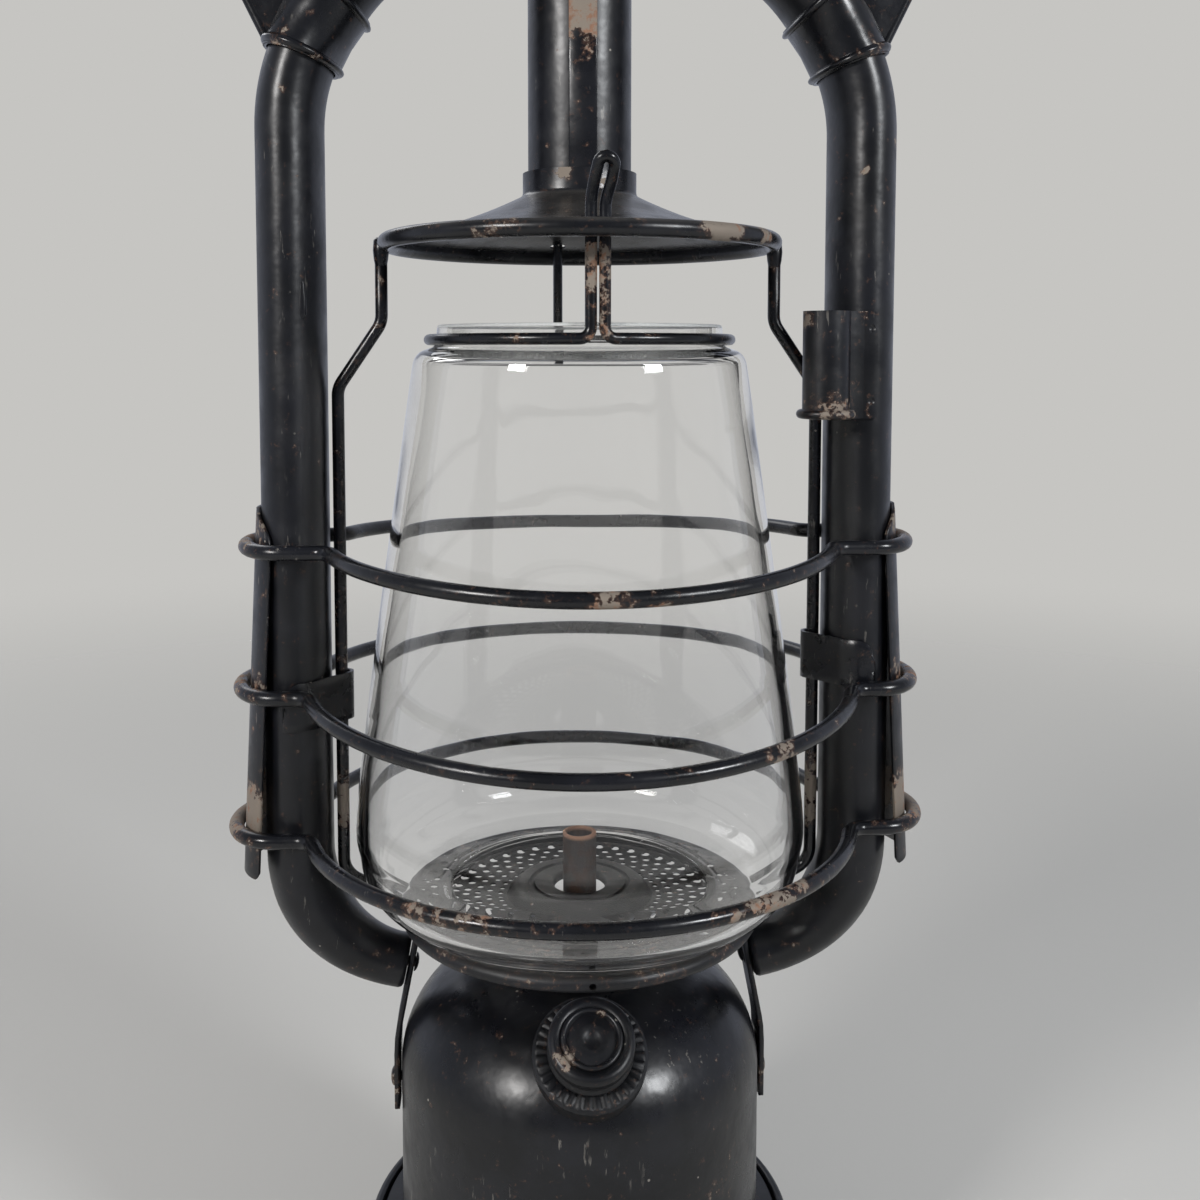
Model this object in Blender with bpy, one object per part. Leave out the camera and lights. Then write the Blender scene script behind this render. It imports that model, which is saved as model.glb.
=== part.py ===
"""Carbide storm lantern: tubular frame, water tank, carbide pot and a globe that lifts.

The lantern stands on Z = 0 with its axis on Z. Its front, with the filler cap, faces -Y,
and its two side tubes stand at -X and +X. Sizes are in metres.
"""
from math import asin, atan2, cos, hypot, pi, radians, sin, sqrt, tan

import bmesh
import bpy
from mathutils import Matrix, Vector

# Clearances and stock
FIT = 0.0003                  # gap between pieces that touch
SLIDE_FIT = 0.0006            # gap round pieces that slide or turn
SHEET = 0.0008                # lantern sheet
OVERRUN = 0.0020              # how far a cutter runs past what it cuts

# Carbide pot and what it holds
POT_R = 0.0480
POT_FILLET = 0.0060
POT_WALL = 0.0012
POT_COLLAR_R = 0.0520
POT_COLLAR_WALL = 0.0022
POT_COLLAR_FOOT_Z = 0.0300
POT_COLLAR_CONE = 0.0040      # height of the cone under the collar
POT_TOP_Z = 0.0440
POT_EDGE = 0.0006             # rounding of the collar's upper edge
GASKET_HEIGHT = 0.0020
GASKET_WIDTH = 0.0025
BASE_RING_HEIGHT = 0.0076
BASKET_R = 0.0360
BASKET_WALL = 0.0010
BASKET_HEIGHT = 0.0220
BASKET_RIM = 0.0012

# Water tank
TANK_R = 0.0439
TANK_SHOULDER_R = 0.0240
TANK_TOP_Z = 0.1090
TANK_CROWN = 0.0010           # rise of the top over the shoulder
TANK_SKIRT = 0.0080           # tank wall below the floor's flange
FLOOR_Z = 0.0460
FLOOR_FLANGE = 0.0040

# Gas pipe, valve block and drip tube
PIPE_R = 0.0041
PIPE_WALL = 0.0009
PIPE_TOP_Z = 0.1410
PIPE_FOOT = 0.0030            # pipe below the tank floor
DRIP_Y = 0.0130
DRIP_R = 0.0025
DRIP_BORE_R = 0.0013
DRIP_LENGTH = 0.0200
BLOCK_R = 0.0060
BLOCK_HEIGHT = 0.0130
VALVE_RISE = 0.0085           # valve axis over the tank floor

# Water regulator on the tank's back
ROD_R = 0.0015
ROD_TIP = 0.0020
GLAND_R = 0.0052
GLAND_LENGTH = 0.0070
GLAND_SPIGOT_R = 0.0036
GLAND_SPIGOT = 0.0030
NUT_R = 0.0042
NUT_LENGTH = 0.0035
KNOB_R = 0.0080
KNOB_LENGTH = 0.0070
KNOB_LOBE = 0.0010
KNOB_GAP = 0.0010
KNOB_SEAT = 0.0045            # rod's depth in the knob

# Filler neck and cap
CAP_TILT = radians(50)        # elevation of the filler's axis
NECK_R = 0.0078
NECK_BORE_R = 0.0062
NECK_TOP = 0.0065             # neck's end over the tank's shoulder
NECK_ROOT = 0.0090            # how deep the flange's skirt reaches to meet the shoulder
FLANGE_R = 0.0128
FLANGE_TOP = 0.0014
FLANGE_BEVEL = 0.0005
TOOTH_HEIGHT = 0.0007
TOOTH_IN_R = 0.0088
TOOTH_OUT_R = 0.0121
TEETH = 18
CAP_R = 0.0096
CAP_WALL = 0.0010
CAP_SKIRT_FOOT = 0.0026
CAP_EDGE = 0.0016
CAP_RING_R = 0.0062
CAP_RING_HALF = 0.0006
CAP_RING_RISE = 0.0006
CAP_DISH = 0.0005
CAP_DIMPLE_R = 0.0022
CAP_DIMPLE_DEPTH = 0.0008
WASHER_HEIGHT = 0.0012
WASHER_BORE_R = 0.0030

# Side tubes, collars and arms: ovals, longer in Y
TUBE_X = 0.0678
TUBE_HALF_X = 0.0079
TUBE_HALF_Y = 0.0115
TUBE_WALL = 0.0008
LOW_BEND_R = 0.0300
LOW_BEND_Z = 0.1390
TUBE_END_HALF_X = 0.0062
TUBE_END_HALF_Y = 0.0072
TUBE_END_WALL = 0.0030
TOP_BEND_R = 0.0460
TOP_BEND_Z = 0.3100
TUBE_TOP_ANGLE = radians(33.0)
COLLAR_FROM = radians(23.6)
COLLAR_TO = radians(42.6)
COLLAR_WALL = 0.0009
COLLAR_BEAD = 0.0009
ARM_GAP_ANGLE = radians(0.6)
ARM_ARC_END = radians(68.0)
ARM_HALF_X = 0.0055
ARM_HALF_Y = 0.0090
ARM_REACH = 0.0015            # arm's end inside the hood's wall

# Bail ears and bail
EAR_X = 0.0755
EAR_Z = 0.3500
EAR_R = 0.0062
EAR_HALF = 0.0011
EAR_RIM_R = 0.0013
EAR_ROOT = 0.0012             # how far the ear's foot goes into the collar
BOSS_R = 0.0034
BOSS_IN = 0.0045
BOSS_OUT = 0.0046
BAIL_R = 0.0018
BAIL_GAP = 0.0026             # from the ear's boss to the bail's leg
BAIL_HOOK = 0.0030            # bail's end inside the middle of the ear
BAIL_CORNER_R = 0.0030
BAIL_LEG_Z = 0.3790
BAIL_TOP_Z = 0.4430

# Hood and its cover
SLEEVE_R = 0.0134             # bore that the chimney tube slides in
SLEEVE_TOP_Z = 0.3860
HOOD_R = 0.0262
HOOD_FOOT_Z = 0.3510
HOOD_SLOPE = 0.0015
HOOD_WALL_TOP_Z = 0.3740
COVER_FOOT_Z = 0.3720
COVER_WALL = 0.0130           # height of the cover's upright wall
COVER_RISE = 0.0120           # height of its dome
COVER_BEAD = 0.0010
VENT_R = 0.0030
VENTS = 8

# Straps from the tank to the tubes, and their rivets
STRAP_THICK = 0.0013
STRAP_HALF = 0.0050
STRAP_FOOT_Z = 0.0740
STRAP_BEND_Z = 0.0920
STRAP_TILT = radians(11.3)
RIVET_R = 0.0012
RIVET_HEAD_R = 0.0023
RIVET_HEAD = 0.0009
RIVET_FOOT_Z = 0.0800

# Guard rings and the strips that hold them
GUARD_R = 0.0018
GUARD_BEND_R = 0.0050
GUARD_TOP_Z = 0.2130          # height of the top ring's strands
GUARD_PITCH = 0.0337          # from one ring down to the next
GUARD_STANDOFF = 0.0110       # from the globe's widest radius to a ring's centre line
GUARD_RING_SHARES = (
    # name, share of the ring's radius, droop in front and behind as shares of the pitch
    ("top", 0.923, 0.090, 0.090),
    ("middle", 1.0, 0.120, 0.040),
    ("bottom", 1.0, 0.006, 0.006),
)
STRIP_TOP_Z = 0.2220
STRIP_SHOULDER = 0.0080       # length of the strip's pointed top
STRIP_FOOT_Z = 0.1350
STRIP_WRAP = radians(64)
STRIP_TIP_WRAP = radians(14)
STRIP_LEAN_SHARE = 0.05       # how far the strip leaves the tube, per length

# Chimney tube, globe plate and lift wires
CHIMNEY_R = 0.0122
SEAM_RISE = 0.0005
SEAM_HALF = radians(12.7)
CHIMNEY_FOOT_Z = 0.2970
CHIMNEY_TOP_Z = 0.3600
PLATE_NECK_TOP_Z = 0.3020
PLATE_NECK_FOOT_Z = 0.2968
PLATE_RIM_R = 0.0457
PLATE_RIM_Z = 0.2840
PLATE_ROLL_R = 0.0020
LIFT_R = 0.0015
LIFT_TOP_X = 0.0458
LIFT_X = 0.0575
LIFT_KINK_TOP_Z = 0.2630
LIFT_KINK_FOOT_Z = 0.2440
LIFT_TOE = radians(30)        # slope of the wire's foot
LIFT_BEND_R = 0.0060

# Gallery
GALLERY_Z = 0.1250            # its upper face
GALLERY_RIM_R = 0.0420
GALLERY_ROLL_R = 0.0018
GALLERY_HOLE_R = 0.0066
CUP_R = 0.0178
CUP_RISE = 0.0034
CUP_GROOVE_R = 0.0118
CUP_GROOVE = 0.0009
CUP_LIP = 0.0012
SEAT_R = 0.0335
SEAT_HALF = 0.0009
SEAT_RISE = 0.0006
PERFORATION_R = 0.0013
PERFORATION_ROWS = 5
PERFORATION_PHASE_SHARE = 0.13
PERFORATIONS = 20
PERFORATION_IN_R = 0.0199
PERFORATION_OUT_R = 0.0303
BAND_HOLE_R = 0.0013
BAND_HOLES = 18
BAND_IN_R = 0.0366
BAND_OUT_R = 0.0389
RIM_HOLE_R = 0.0008

# Globe
GLASS = 0.0025
GLOBE_R = 0.0540
GLOBE_HEIGHT = 0.1390
GLOBE_OUTLINE_SHARES = (
    # outside as shares of the radius and the height, from the foot to the neck
    (0.578, 0.002), (0.639, 0.000), (0.824, 0.009), (0.898, 0.023),
    (0.959, 0.050), (0.993, 0.101), (1.000, 0.173), (0.915, 0.439),
    (0.791, 0.784), (0.778, 0.878), (0.761, 0.921),
    (0.670, 0.952), (0.632, 0.962), (0.624, 1.000),
)

# Globe retainer
RETAINER_R = 0.00115
RETAINER_RING_R = 0.0358
RETAINER_Z = 0.2614
RETAINER_TWIN_X = 0.0001      # place of the left one of the twin wires
RETAINER_TWIN_GAP = 0.0030    # from one twin wire's axis to the other's
RETAINER_BACK_X = -0.0035
RETAINER_CORNER_R = 0.0024
RETAINER_LOOP_Z = 0.2955
RETAINER_LOOP_R = 0.0042
RETAINER_LOOP_LEAN = 0.0030
RETAINER_BACK_TOP_Z = 0.2930
SLOT_HALF_Y = 0.0026
BACK_HOLE_R = 0.0021

# Guide clips and accessory socket
CLIP_LEFT_Z = 0.1706
CLIP_RIGHT_Z = 0.1788
CLIP_HEIGHT = 0.0113
CLIP_FROM = radians(-78)
CLIP_LEAVE = radians(-140)
SOCKET_FOOT_Z = 0.2430
SOCKET_HEIGHT = 0.0250
SOCKET_R = 0.0055
SOCKET_X = 0.0568
SOCKET_Y = -0.0126
SOCKET_FLANGE_FROM = radians(-72)
SOCKET_FLANGE_TO = radians(-104)
SOCKET_SEAM = radians(26)
SOCKET_BEAD_R = 0.0011

# Sides of round pieces
TANK_SIDES = 28
GLOBE_SIDES = 28
HOOD_SIDES = 20
TUBE_SIDES = 10
WIRE_SIDES = 5
CAP_SIDES = 18
SMALL_SIDES = 12

# Colours, metallic and roughness
BLACK_PAINT = ("black_paint", (0.018, 0.018, 0.021), 0.0, 0.38)
WORN_PAINT = ("worn_paint", (0.030, 0.027, 0.026), 0.1, 0.5)
BARE_STEEL = ("bare_steel", (0.21, 0.19, 0.17), 0.9, 0.5)
RUSTY_STEEL = ("rusty_steel", (0.10, 0.07, 0.055), 0.5, 0.7)
BRASS = ("aged_brass", (0.35, 0.25, 0.11), 1.0, 0.4)
RUBBER = ("rubber", (0.02, 0.02, 0.02), 0.0, 0.8)
CLEAR_GLASS = ("clear_glass", (0.90, 0.94, 0.93), 0.0, 0.03)


def clear_scene():
    """Start from an empty scene."""
    for item in list(bpy.data.objects):
        bpy.data.objects.remove(item, do_unlink=True)


def surface(finish):
    """A material with the piece's own colour."""
    label, colour, metallic, roughness = finish
    material = bpy.data.materials.new(label)
    material.use_nodes = True
    shader = material.node_tree.nodes["Principled BSDF"]
    shader.inputs["Base Color"].default_value = (*colour, 1.0)
    shader.inputs["Metallic"].default_value = metallic
    shader.inputs["Roughness"].default_value = roughness
    if finish is CLEAR_GLASS:
        shader.inputs["Transmission Weight"].default_value = 1.0
    return material


def make_object(name, mesh_data, finish, sharp=radians(38)):
    """An object from a bmesh, with outward faces and smooth shading between sharp edges."""
    bmesh.ops.recalc_face_normals(mesh_data, faces=mesh_data.faces)
    mesh = bpy.data.meshes.new(name)
    mesh_data.to_mesh(mesh)
    mesh_data.free()
    mesh.shade_smooth()
    mesh.set_sharp_from_angle(angle=sharp)
    mesh.materials.append(surface(finish))
    item = bpy.data.objects.new(name, mesh)
    bpy.context.collection.objects.link(item)
    return item


def loft(rings, closed=False, mesh_data=None):
    """Skin a row of rings with as many points each, and cap the ends or join them."""
    mesh_data = mesh_data or bmesh.new()
    rows = [[mesh_data.verts.new(point) for point in ring] for ring in rings]
    pairs = list(zip(rows, rows[1:]))
    if closed:
        pairs.append((rows[-1], rows[0]))
    else:
        mesh_data.faces.new(rows[0])
        mesh_data.faces.new(rows[-1])
    for near, far in pairs:
        count = len(near)
        for i in range(count):
            j = (i + 1) % count
            mesh_data.faces.new((near[i], near[j], far[j], far[i]))
    return mesh_data


def lathe(outline, sides, mesh_data=None):
    """Turn a closed outline of (radius, height) about Z; a radius of zero is on the axis."""
    mesh_data = mesh_data or bmesh.new()
    turns = [2 * pi * i / sides for i in range(sides)]
    rows = []
    for radius, height in outline:
        if radius == 0:
            rows.append([mesh_data.verts.new((0, 0, height))] * sides)
        else:
            rows.append([mesh_data.verts.new((radius * cos(a), radius * sin(a), height)) for a in turns])
    for near, far in zip(rows, rows[1:] + rows[:1]):
        for i in range(sides):
            j = (i + 1) % sides
            corners = list(dict.fromkeys((near[i], near[j], far[j], far[i])))
            if len(corners) > 2:
                mesh_data.faces.new(corners)
    return mesh_data


def turned(name, outline, sides, finish, place=None):
    """A turned piece, moved by the matrix place."""
    mesh_data = lathe(outline, sides)
    if place:
        bmesh.ops.transform(mesh_data, matrix=place, verts=mesh_data.verts)
    return make_object(name, mesh_data, finish)


def arc(centre, radius, start, end, steps):
    """Points on an arc in a plane, both ends included."""
    turns = [start + (end - start) * i / steps for i in range(steps + 1)]
    return [(centre[0] + radius * cos(a), centre[1] + radius * sin(a)) for a in turns]


def offset_line(points, distance):
    """The open line that runs beside points, at distance to their left."""
    moved = []
    for i, (x, y) in enumerate(points):
        before = points[max(i - 1, 0)]
        after = points[min(i + 1, len(points) - 1)]
        turns = []
        if i > 0:
            turns.append(atan2(y - before[1], x - before[0]))
        if i < len(points) - 1:
            turns.append(atan2(after[1] - y, after[0] - x))
        bend = (turns[-1] - turns[0] + pi) % (2 * pi) - pi
        normal = turns[0] + bend / 2 + pi / 2
        reach = distance / cos(bend / 2)
        moved.append((x + reach * cos(normal), y + reach * sin(normal)))
    return moved


def sheet_outline(points, thickness):
    """A closed outline for sheet that lies to the left of points."""
    return list(points) + offset_line(points, thickness)[::-1]


def rounded(points, radius, steps=3):
    """A 3-D path whose inner corners are arcs of the radius, where the runs allow it."""
    path = [Vector(points[0])]
    for before, corner, after in zip(points, points[1:], points[2:]):
        before, corner, after = Vector(before), Vector(corner), Vector(after)
        back = (before - corner).normalized()
        ahead = (after - corner).normalized()
        half = back.angle(ahead) / 2
        reach = min(radius / tan(half), (before - corner).length / 2, (after - corner).length / 2)
        bend = reach * tan(half)
        centre = corner + (back + ahead).normalized() * bend / sin(half)
        first = corner + back * reach - centre
        last = corner + ahead * reach - centre
        sweep = first.angle(last)
        for i in range(steps + 1):
            share = i / steps
            spoke = first * sin((1 - share) * sweep) + last * sin(share * sweep)
            path.append(centre + spoke / sin(sweep))
    path.append(Vector(points[-1]))
    return path


def wire_rings(path, radius, sides, closed=False):
    """Rings round a path, turned as little as they can be from one to the next."""
    count = len(path)
    tangents = []
    for i, point in enumerate(path):
        before = path[(i - 1) % count] if closed or i > 0 else point
        after = path[(i + 1) % count] if closed or i < count - 1 else point
        tangents.append((after - before).normalized())
    side = tangents[0].orthogonal().normalized()
    sides_of = [side]
    for near, far in zip(tangents, tangents[1:]):
        side = (near.rotation_difference(far) @ side).normalized()
        sides_of.append(side)
    slip = 0.0
    if closed:
        back = tangents[-1].rotation_difference(tangents[0]) @ side
        cross = tangents[0].dot(back.cross(sides_of[0]))
        slip = atan2(cross, back.dot(sides_of[0]))
    rings = []
    for i, (point, tangent, side) in enumerate(zip(path, tangents, sides_of)):
        side = Matrix.Rotation(slip * i / count, 3, tangent) @ side
        other = tangent.cross(side)
        turns = [2 * pi * k / sides for k in range(sides)]
        rings.append([point + radius * (cos(a) * side + sin(a) * other) for a in turns])
    return rings


def wire(name, path, radius, finish, closed=False, sides=WIRE_SIDES):
    """A round wire along a path."""
    return make_object(name, loft(wire_rings(path, radius, sides, closed), closed), finish)


def oval_rings(stations, grow=0.0, sides=TUBE_SIDES):
    """Oval rings round stations of (x, z, heading, half width in the XZ plane, half width in Y)."""
    rings = []
    for x, z, heading, half_x, half_y in stations:
        across = Vector((sin(heading), 0, -cos(heading)))
        centre = Vector((x, 0, z))
        ring = []
        for i in range(sides):
            turn = 2 * pi * i / sides
            reach = across * (half_x + grow) * cos(turn)
            ring.append(centre + reach + Vector((0, (half_y + grow) * sin(turn), 0)))
        rings.append(ring)
    return rings


def mirrored(rings, side):
    """Rings of the right-hand piece, or of its mirror image where side is -1."""
    return [[Vector((side * p[0], p[1], p[2])) for p in ring] for ring in rings]


def prism(outline, low, high, mesh_data=None):
    """An outline of (x, y) between two heights."""
    rings = [[(x, y, z) for x, y in outline] for z in (low, high)]
    return loft(rings, mesh_data=mesh_data)


def apply_boolean(item, tool, operation, solver="EXACT"):
    """Join or cut item with a tool that the build leaves out."""
    modifier = item.modifiers.new(operation.lower() + "_" + tool.name, "BOOLEAN")
    modifier.operation = operation
    modifier.object = tool
    modifier.solver = solver
    tool.hide_render = True
    tool.display_type = "WIRE"


def cut(item, *tools, solver="EXACT"):
    for tool in tools:
        apply_boolean(item, tool, "DIFFERENCE", solver)


def join(item, *tools, solver="EXACT"):
    for tool in tools:
        apply_boolean(item, tool, "UNION", solver)


def rod_between(name, start, end, radius, sides=SMALL_SIDES, finish=BARE_STEEL):
    """A plain round bar from one point to another."""
    start, end = Vector(start), Vector(end)
    mesh_data = bmesh.new()
    length = (end - start).length
    spin = Vector((0, 0, 1)).rotation_difference(end - start).to_matrix().to_4x4()
    place = Matrix.Translation((start + end) / 2) @ spin
    bmesh.ops.create_cone(mesh_data, cap_ends=True, segments=sides, radius1=radius, radius2=radius,
                          depth=length, matrix=place)
    return make_object(name, mesh_data, finish)


def pot_and_basket():
    """The carbide pot with its collar, the gasket on its ledge and the basket inside."""
    ledge_z = POT_COLLAR_FOOT_Z + POT_COLLAR_CONE
    collar_in = POT_COLLAR_R - POT_COLLAR_WALL
    inner = POT_R - POT_WALL
    outline = [(0, 0), *arc((POT_R - POT_FILLET, POT_FILLET), POT_FILLET, -pi / 2, 0, 3)]
    outline += [(POT_R, POT_COLLAR_FOOT_Z), (POT_COLLAR_R, ledge_z), (POT_COLLAR_R, POT_TOP_Z - POT_EDGE)]
    outline += [(POT_COLLAR_R - POT_EDGE, POT_TOP_Z), (collar_in + POT_EDGE, POT_TOP_Z)]
    outline += [(collar_in, POT_TOP_Z - POT_EDGE), (collar_in, ledge_z), (inner, ledge_z)]
    outline += arc((POT_R - POT_FILLET, POT_FILLET), POT_FILLET - POT_WALL, 0, -pi / 2, 2)
    outline += [(0, POT_WALL)]
    turned("carbide_pot", outline, TANK_SIDES, BLACK_PAINT)

    gasket_out = collar_in - SLIDE_FIT
    gasket_foot = ledge_z + FIT
    gasket = [(gasket_out, gasket_foot), (gasket_out, gasket_foot + GASKET_HEIGHT)]
    gasket += [(gasket_out - GASKET_WIDTH, gasket_foot + GASKET_HEIGHT)]
    gasket += [(gasket_out - GASKET_WIDTH, gasket_foot)]
    turned("pot_gasket", gasket, TANK_SIDES, RUBBER)

    ring_foot = gasket_foot + GASKET_HEIGHT + FIT
    ring_out = collar_in - SLIDE_FIT
    ring_top = ring_foot + BASE_RING_HEIGHT
    ring = [(TANK_R + FIT, ring_foot), (ring_out, ring_foot), (ring_out, ring_top)]
    ring += [(TANK_R + FIT, ring_top)]
    turned("tank_base_ring", ring, TANK_SIDES, BRASS)

    foot = POT_WALL + FIT
    top = foot + BASKET_HEIGHT
    basket = [(0, foot), (BASKET_R, foot), (BASKET_R, top - BASKET_RIM)]
    basket += [(BASKET_R + BASKET_WALL, top - BASKET_RIM), (BASKET_R + BASKET_WALL, top)]
    basket += [(BASKET_R - BASKET_WALL, top), (BASKET_R - BASKET_WALL, foot + BASKET_WALL)]
    basket += [(0, foot + BASKET_WALL)]
    turned("carbide_basket", basket, HOOD_SIDES, BARE_STEEL)


def shoulder_centre():
    """Centre (radius, height) of the arc of the tank's shoulder."""
    return TANK_R - TANK_SHOULDER_R, TANK_TOP_Z - TANK_SHOULDER_R


def filler_place():
    """Matrix from the filler's own axis, on Z from the shoulder, to its place on the tank."""
    centre_r, centre_z = shoulder_centre()
    foot = Vector((0, -(centre_r + TANK_SHOULDER_R * cos(CAP_TILT)), centre_z + TANK_SHOULDER_R * sin(CAP_TILT)))
    return Matrix.Translation(foot) @ Matrix.Rotation(pi / 2 - CAP_TILT, 4, "X")


def shell_outline(grow, foot_z, hole_r):
    """The tank's outside as a line of (radius, height), grown all round."""
    centre = shoulder_centre()
    line = [(TANK_R + grow, foot_z)]
    line += arc(centre, TANK_SHOULDER_R + grow, 0, pi / 2, 6)
    line += [(hole_r, TANK_TOP_Z + TANK_CROWN + grow)]
    return line


def valve_z():
    return FLOOR_Z + SHEET + VALVE_RISE


def water_tank():
    """The drawn shell, its floor, and the holes for the filler, the gland and the rivets."""
    foot_z = FLOOR_Z - FLOOR_FLANGE - TANK_SKIRT
    outside = shell_outline(0, foot_z, PIPE_R + FIT)
    inside = shell_outline(-SHEET, foot_z, PIPE_R + FIT)
    shell = turned("water_tank", outside + inside[::-1], TANK_SIDES, BLACK_PAINT)
    bore = turned("filler_hole_tool", [(0, -NECK_ROOT), (NECK_BORE_R, -NECK_ROOT), (NECK_BORE_R, NECK_TOP),
                                       (0, NECK_TOP)], SMALL_SIDES, BARE_STEEL, filler_place())
    gland = rod_between("gland_hole_tool", (0, TANK_R - OVERRUN - SHEET, valve_z()),
                        (0, TANK_R + OVERRUN, valve_z()), GLAND_SPIGOT_R + FIT)
    cut(shell, bore, gland)
    for side in (-1, 1):
        hole = rod_between(f"foot_rivet_hole_tool_{side}", (side * (TANK_R - OVERRUN), 0, RIVET_FOOT_Z),
                           (side * (TANK_R + OVERRUN), 0, RIVET_FOOT_Z), RIVET_R + FIT, 8)
        cut(shell, hole)

    edge = TANK_R - SHEET - FIT
    low = FLOOR_Z - FLOOR_FLANGE
    hole_r = PIPE_R + FIT
    floor = [(hole_r, FLOOR_Z), (edge - SHEET, FLOOR_Z), (edge - SHEET, low), (edge, low)]
    floor += [(edge, FLOOR_Z + SHEET), (hole_r, FLOOR_Z + SHEET)]
    tank_floor = turned("tank_floor", floor, TANK_SIDES, BARE_STEEL)
    drip = rod_between("drip_hole_tool", (0, DRIP_Y, low), (0, DRIP_Y, FLOOR_Z + OVERRUN), DRIP_R + FIT)
    cut(tank_floor, drip)


def pipes():
    """The gas pipe, open at both ends, and the drip tube under the valve block."""
    foot_z = FLOOR_Z - PIPE_FOOT
    bore_r = PIPE_R - PIPE_WALL
    gas = [(bore_r, foot_z), (PIPE_R, foot_z), (PIPE_R, PIPE_TOP_Z), (bore_r, PIPE_TOP_Z)]
    turned("gas_pipe", gas, SMALL_SIDES, RUSTY_STEEL)

    top = FLOOR_Z + SHEET + BLOCK_HEIGHT / 4
    drip = [(DRIP_BORE_R, top - DRIP_LENGTH), (DRIP_R, top - DRIP_LENGTH), (DRIP_R, top), (DRIP_BORE_R, top)]
    turned("drip_tube", drip, SMALL_SIDES // 2 + 2, BRASS, Matrix.Translation((0, DRIP_Y, 0)))

    foot = FLOOR_Z + SHEET + FIT
    block = [(0, foot), (BLOCK_R, foot), (BLOCK_R, foot + BLOCK_HEIGHT), (0, foot + BLOCK_HEIGHT)]
    item = turned("valve_block", block, SMALL_SIDES, BRASS, Matrix.Translation((0, DRIP_Y, 0)))
    seat = rod_between("drip_seat_tool", (0, DRIP_Y, foot - OVERRUN), (0, DRIP_Y, top + FIT), DRIP_R + FIT)
    way = rod_between("drip_way_tool", (0, DRIP_Y, top), (0, DRIP_Y, valve_z()), DRIP_BORE_R)
    rod_way = rod_between("rod_way_tool", (0, DRIP_Y, valve_z()), (0, DRIP_Y + BLOCK_R + OVERRUN, valve_z()),
                          ROD_R + FIT)
    cut(item, seat, rod_way, way, solver="MANIFOLD")


def back_place():
    """Matrix from the regulator's own axis, on Z from the tank's wall, to the tank's back."""
    return Matrix.Translation((0, TANK_R, valve_z())) @ Matrix.Rotation(-pi / 2, 4, "X")


def regulator():
    """Gland on the tank's back, the rod through it and the lobed knob on the rod."""
    bore_r = ROD_R + FIT
    nut_top = FIT + GLAND_LENGTH + NUT_LENGTH
    gland = [(bore_r, -GLAND_SPIGOT), (GLAND_SPIGOT_R, -GLAND_SPIGOT), (GLAND_SPIGOT_R, FIT), (GLAND_R, FIT)]
    gland += [(GLAND_R, GLAND_LENGTH + FIT), (NUT_R, GLAND_LENGTH + FIT), (NUT_R, nut_top), (bore_r, nut_top)]
    turned("regulator_gland", gland, SMALL_SIDES, BRASS, back_place())

    knob_foot = nut_top + KNOB_GAP
    rod_end = knob_foot + KNOB_SEAT
    tip = DRIP_Y + FIT - TANK_R
    rod = [(0, tip), (ROD_R, tip + ROD_TIP), (ROD_R, rod_end), (0, rod_end)]
    turned("valve_rod", rod, SMALL_SIDES // 2 + 2, BRASS, back_place())

    count = 24
    turns = [2 * pi * i / count for i in range(count)]
    lobed = [((KNOB_R + KNOB_LOBE * cos(6 * a)) * cos(a), (KNOB_R + KNOB_LOBE * cos(6 * a)) * sin(a)) for a in turns]
    mesh_data = prism(lobed, knob_foot, knob_foot + KNOB_LENGTH)
    bmesh.ops.transform(mesh_data, matrix=back_place(), verts=mesh_data.verts)
    knob = make_object("regulator_knob", mesh_data, BRASS)
    start = back_place() @ Vector((0, 0, knob_foot - OVERRUN))
    end = back_place() @ Vector((0, 0, rod_end + FIT))
    cut(knob, rod_between("knob_bore_tool", start, end, ROD_R + FIT))


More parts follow.
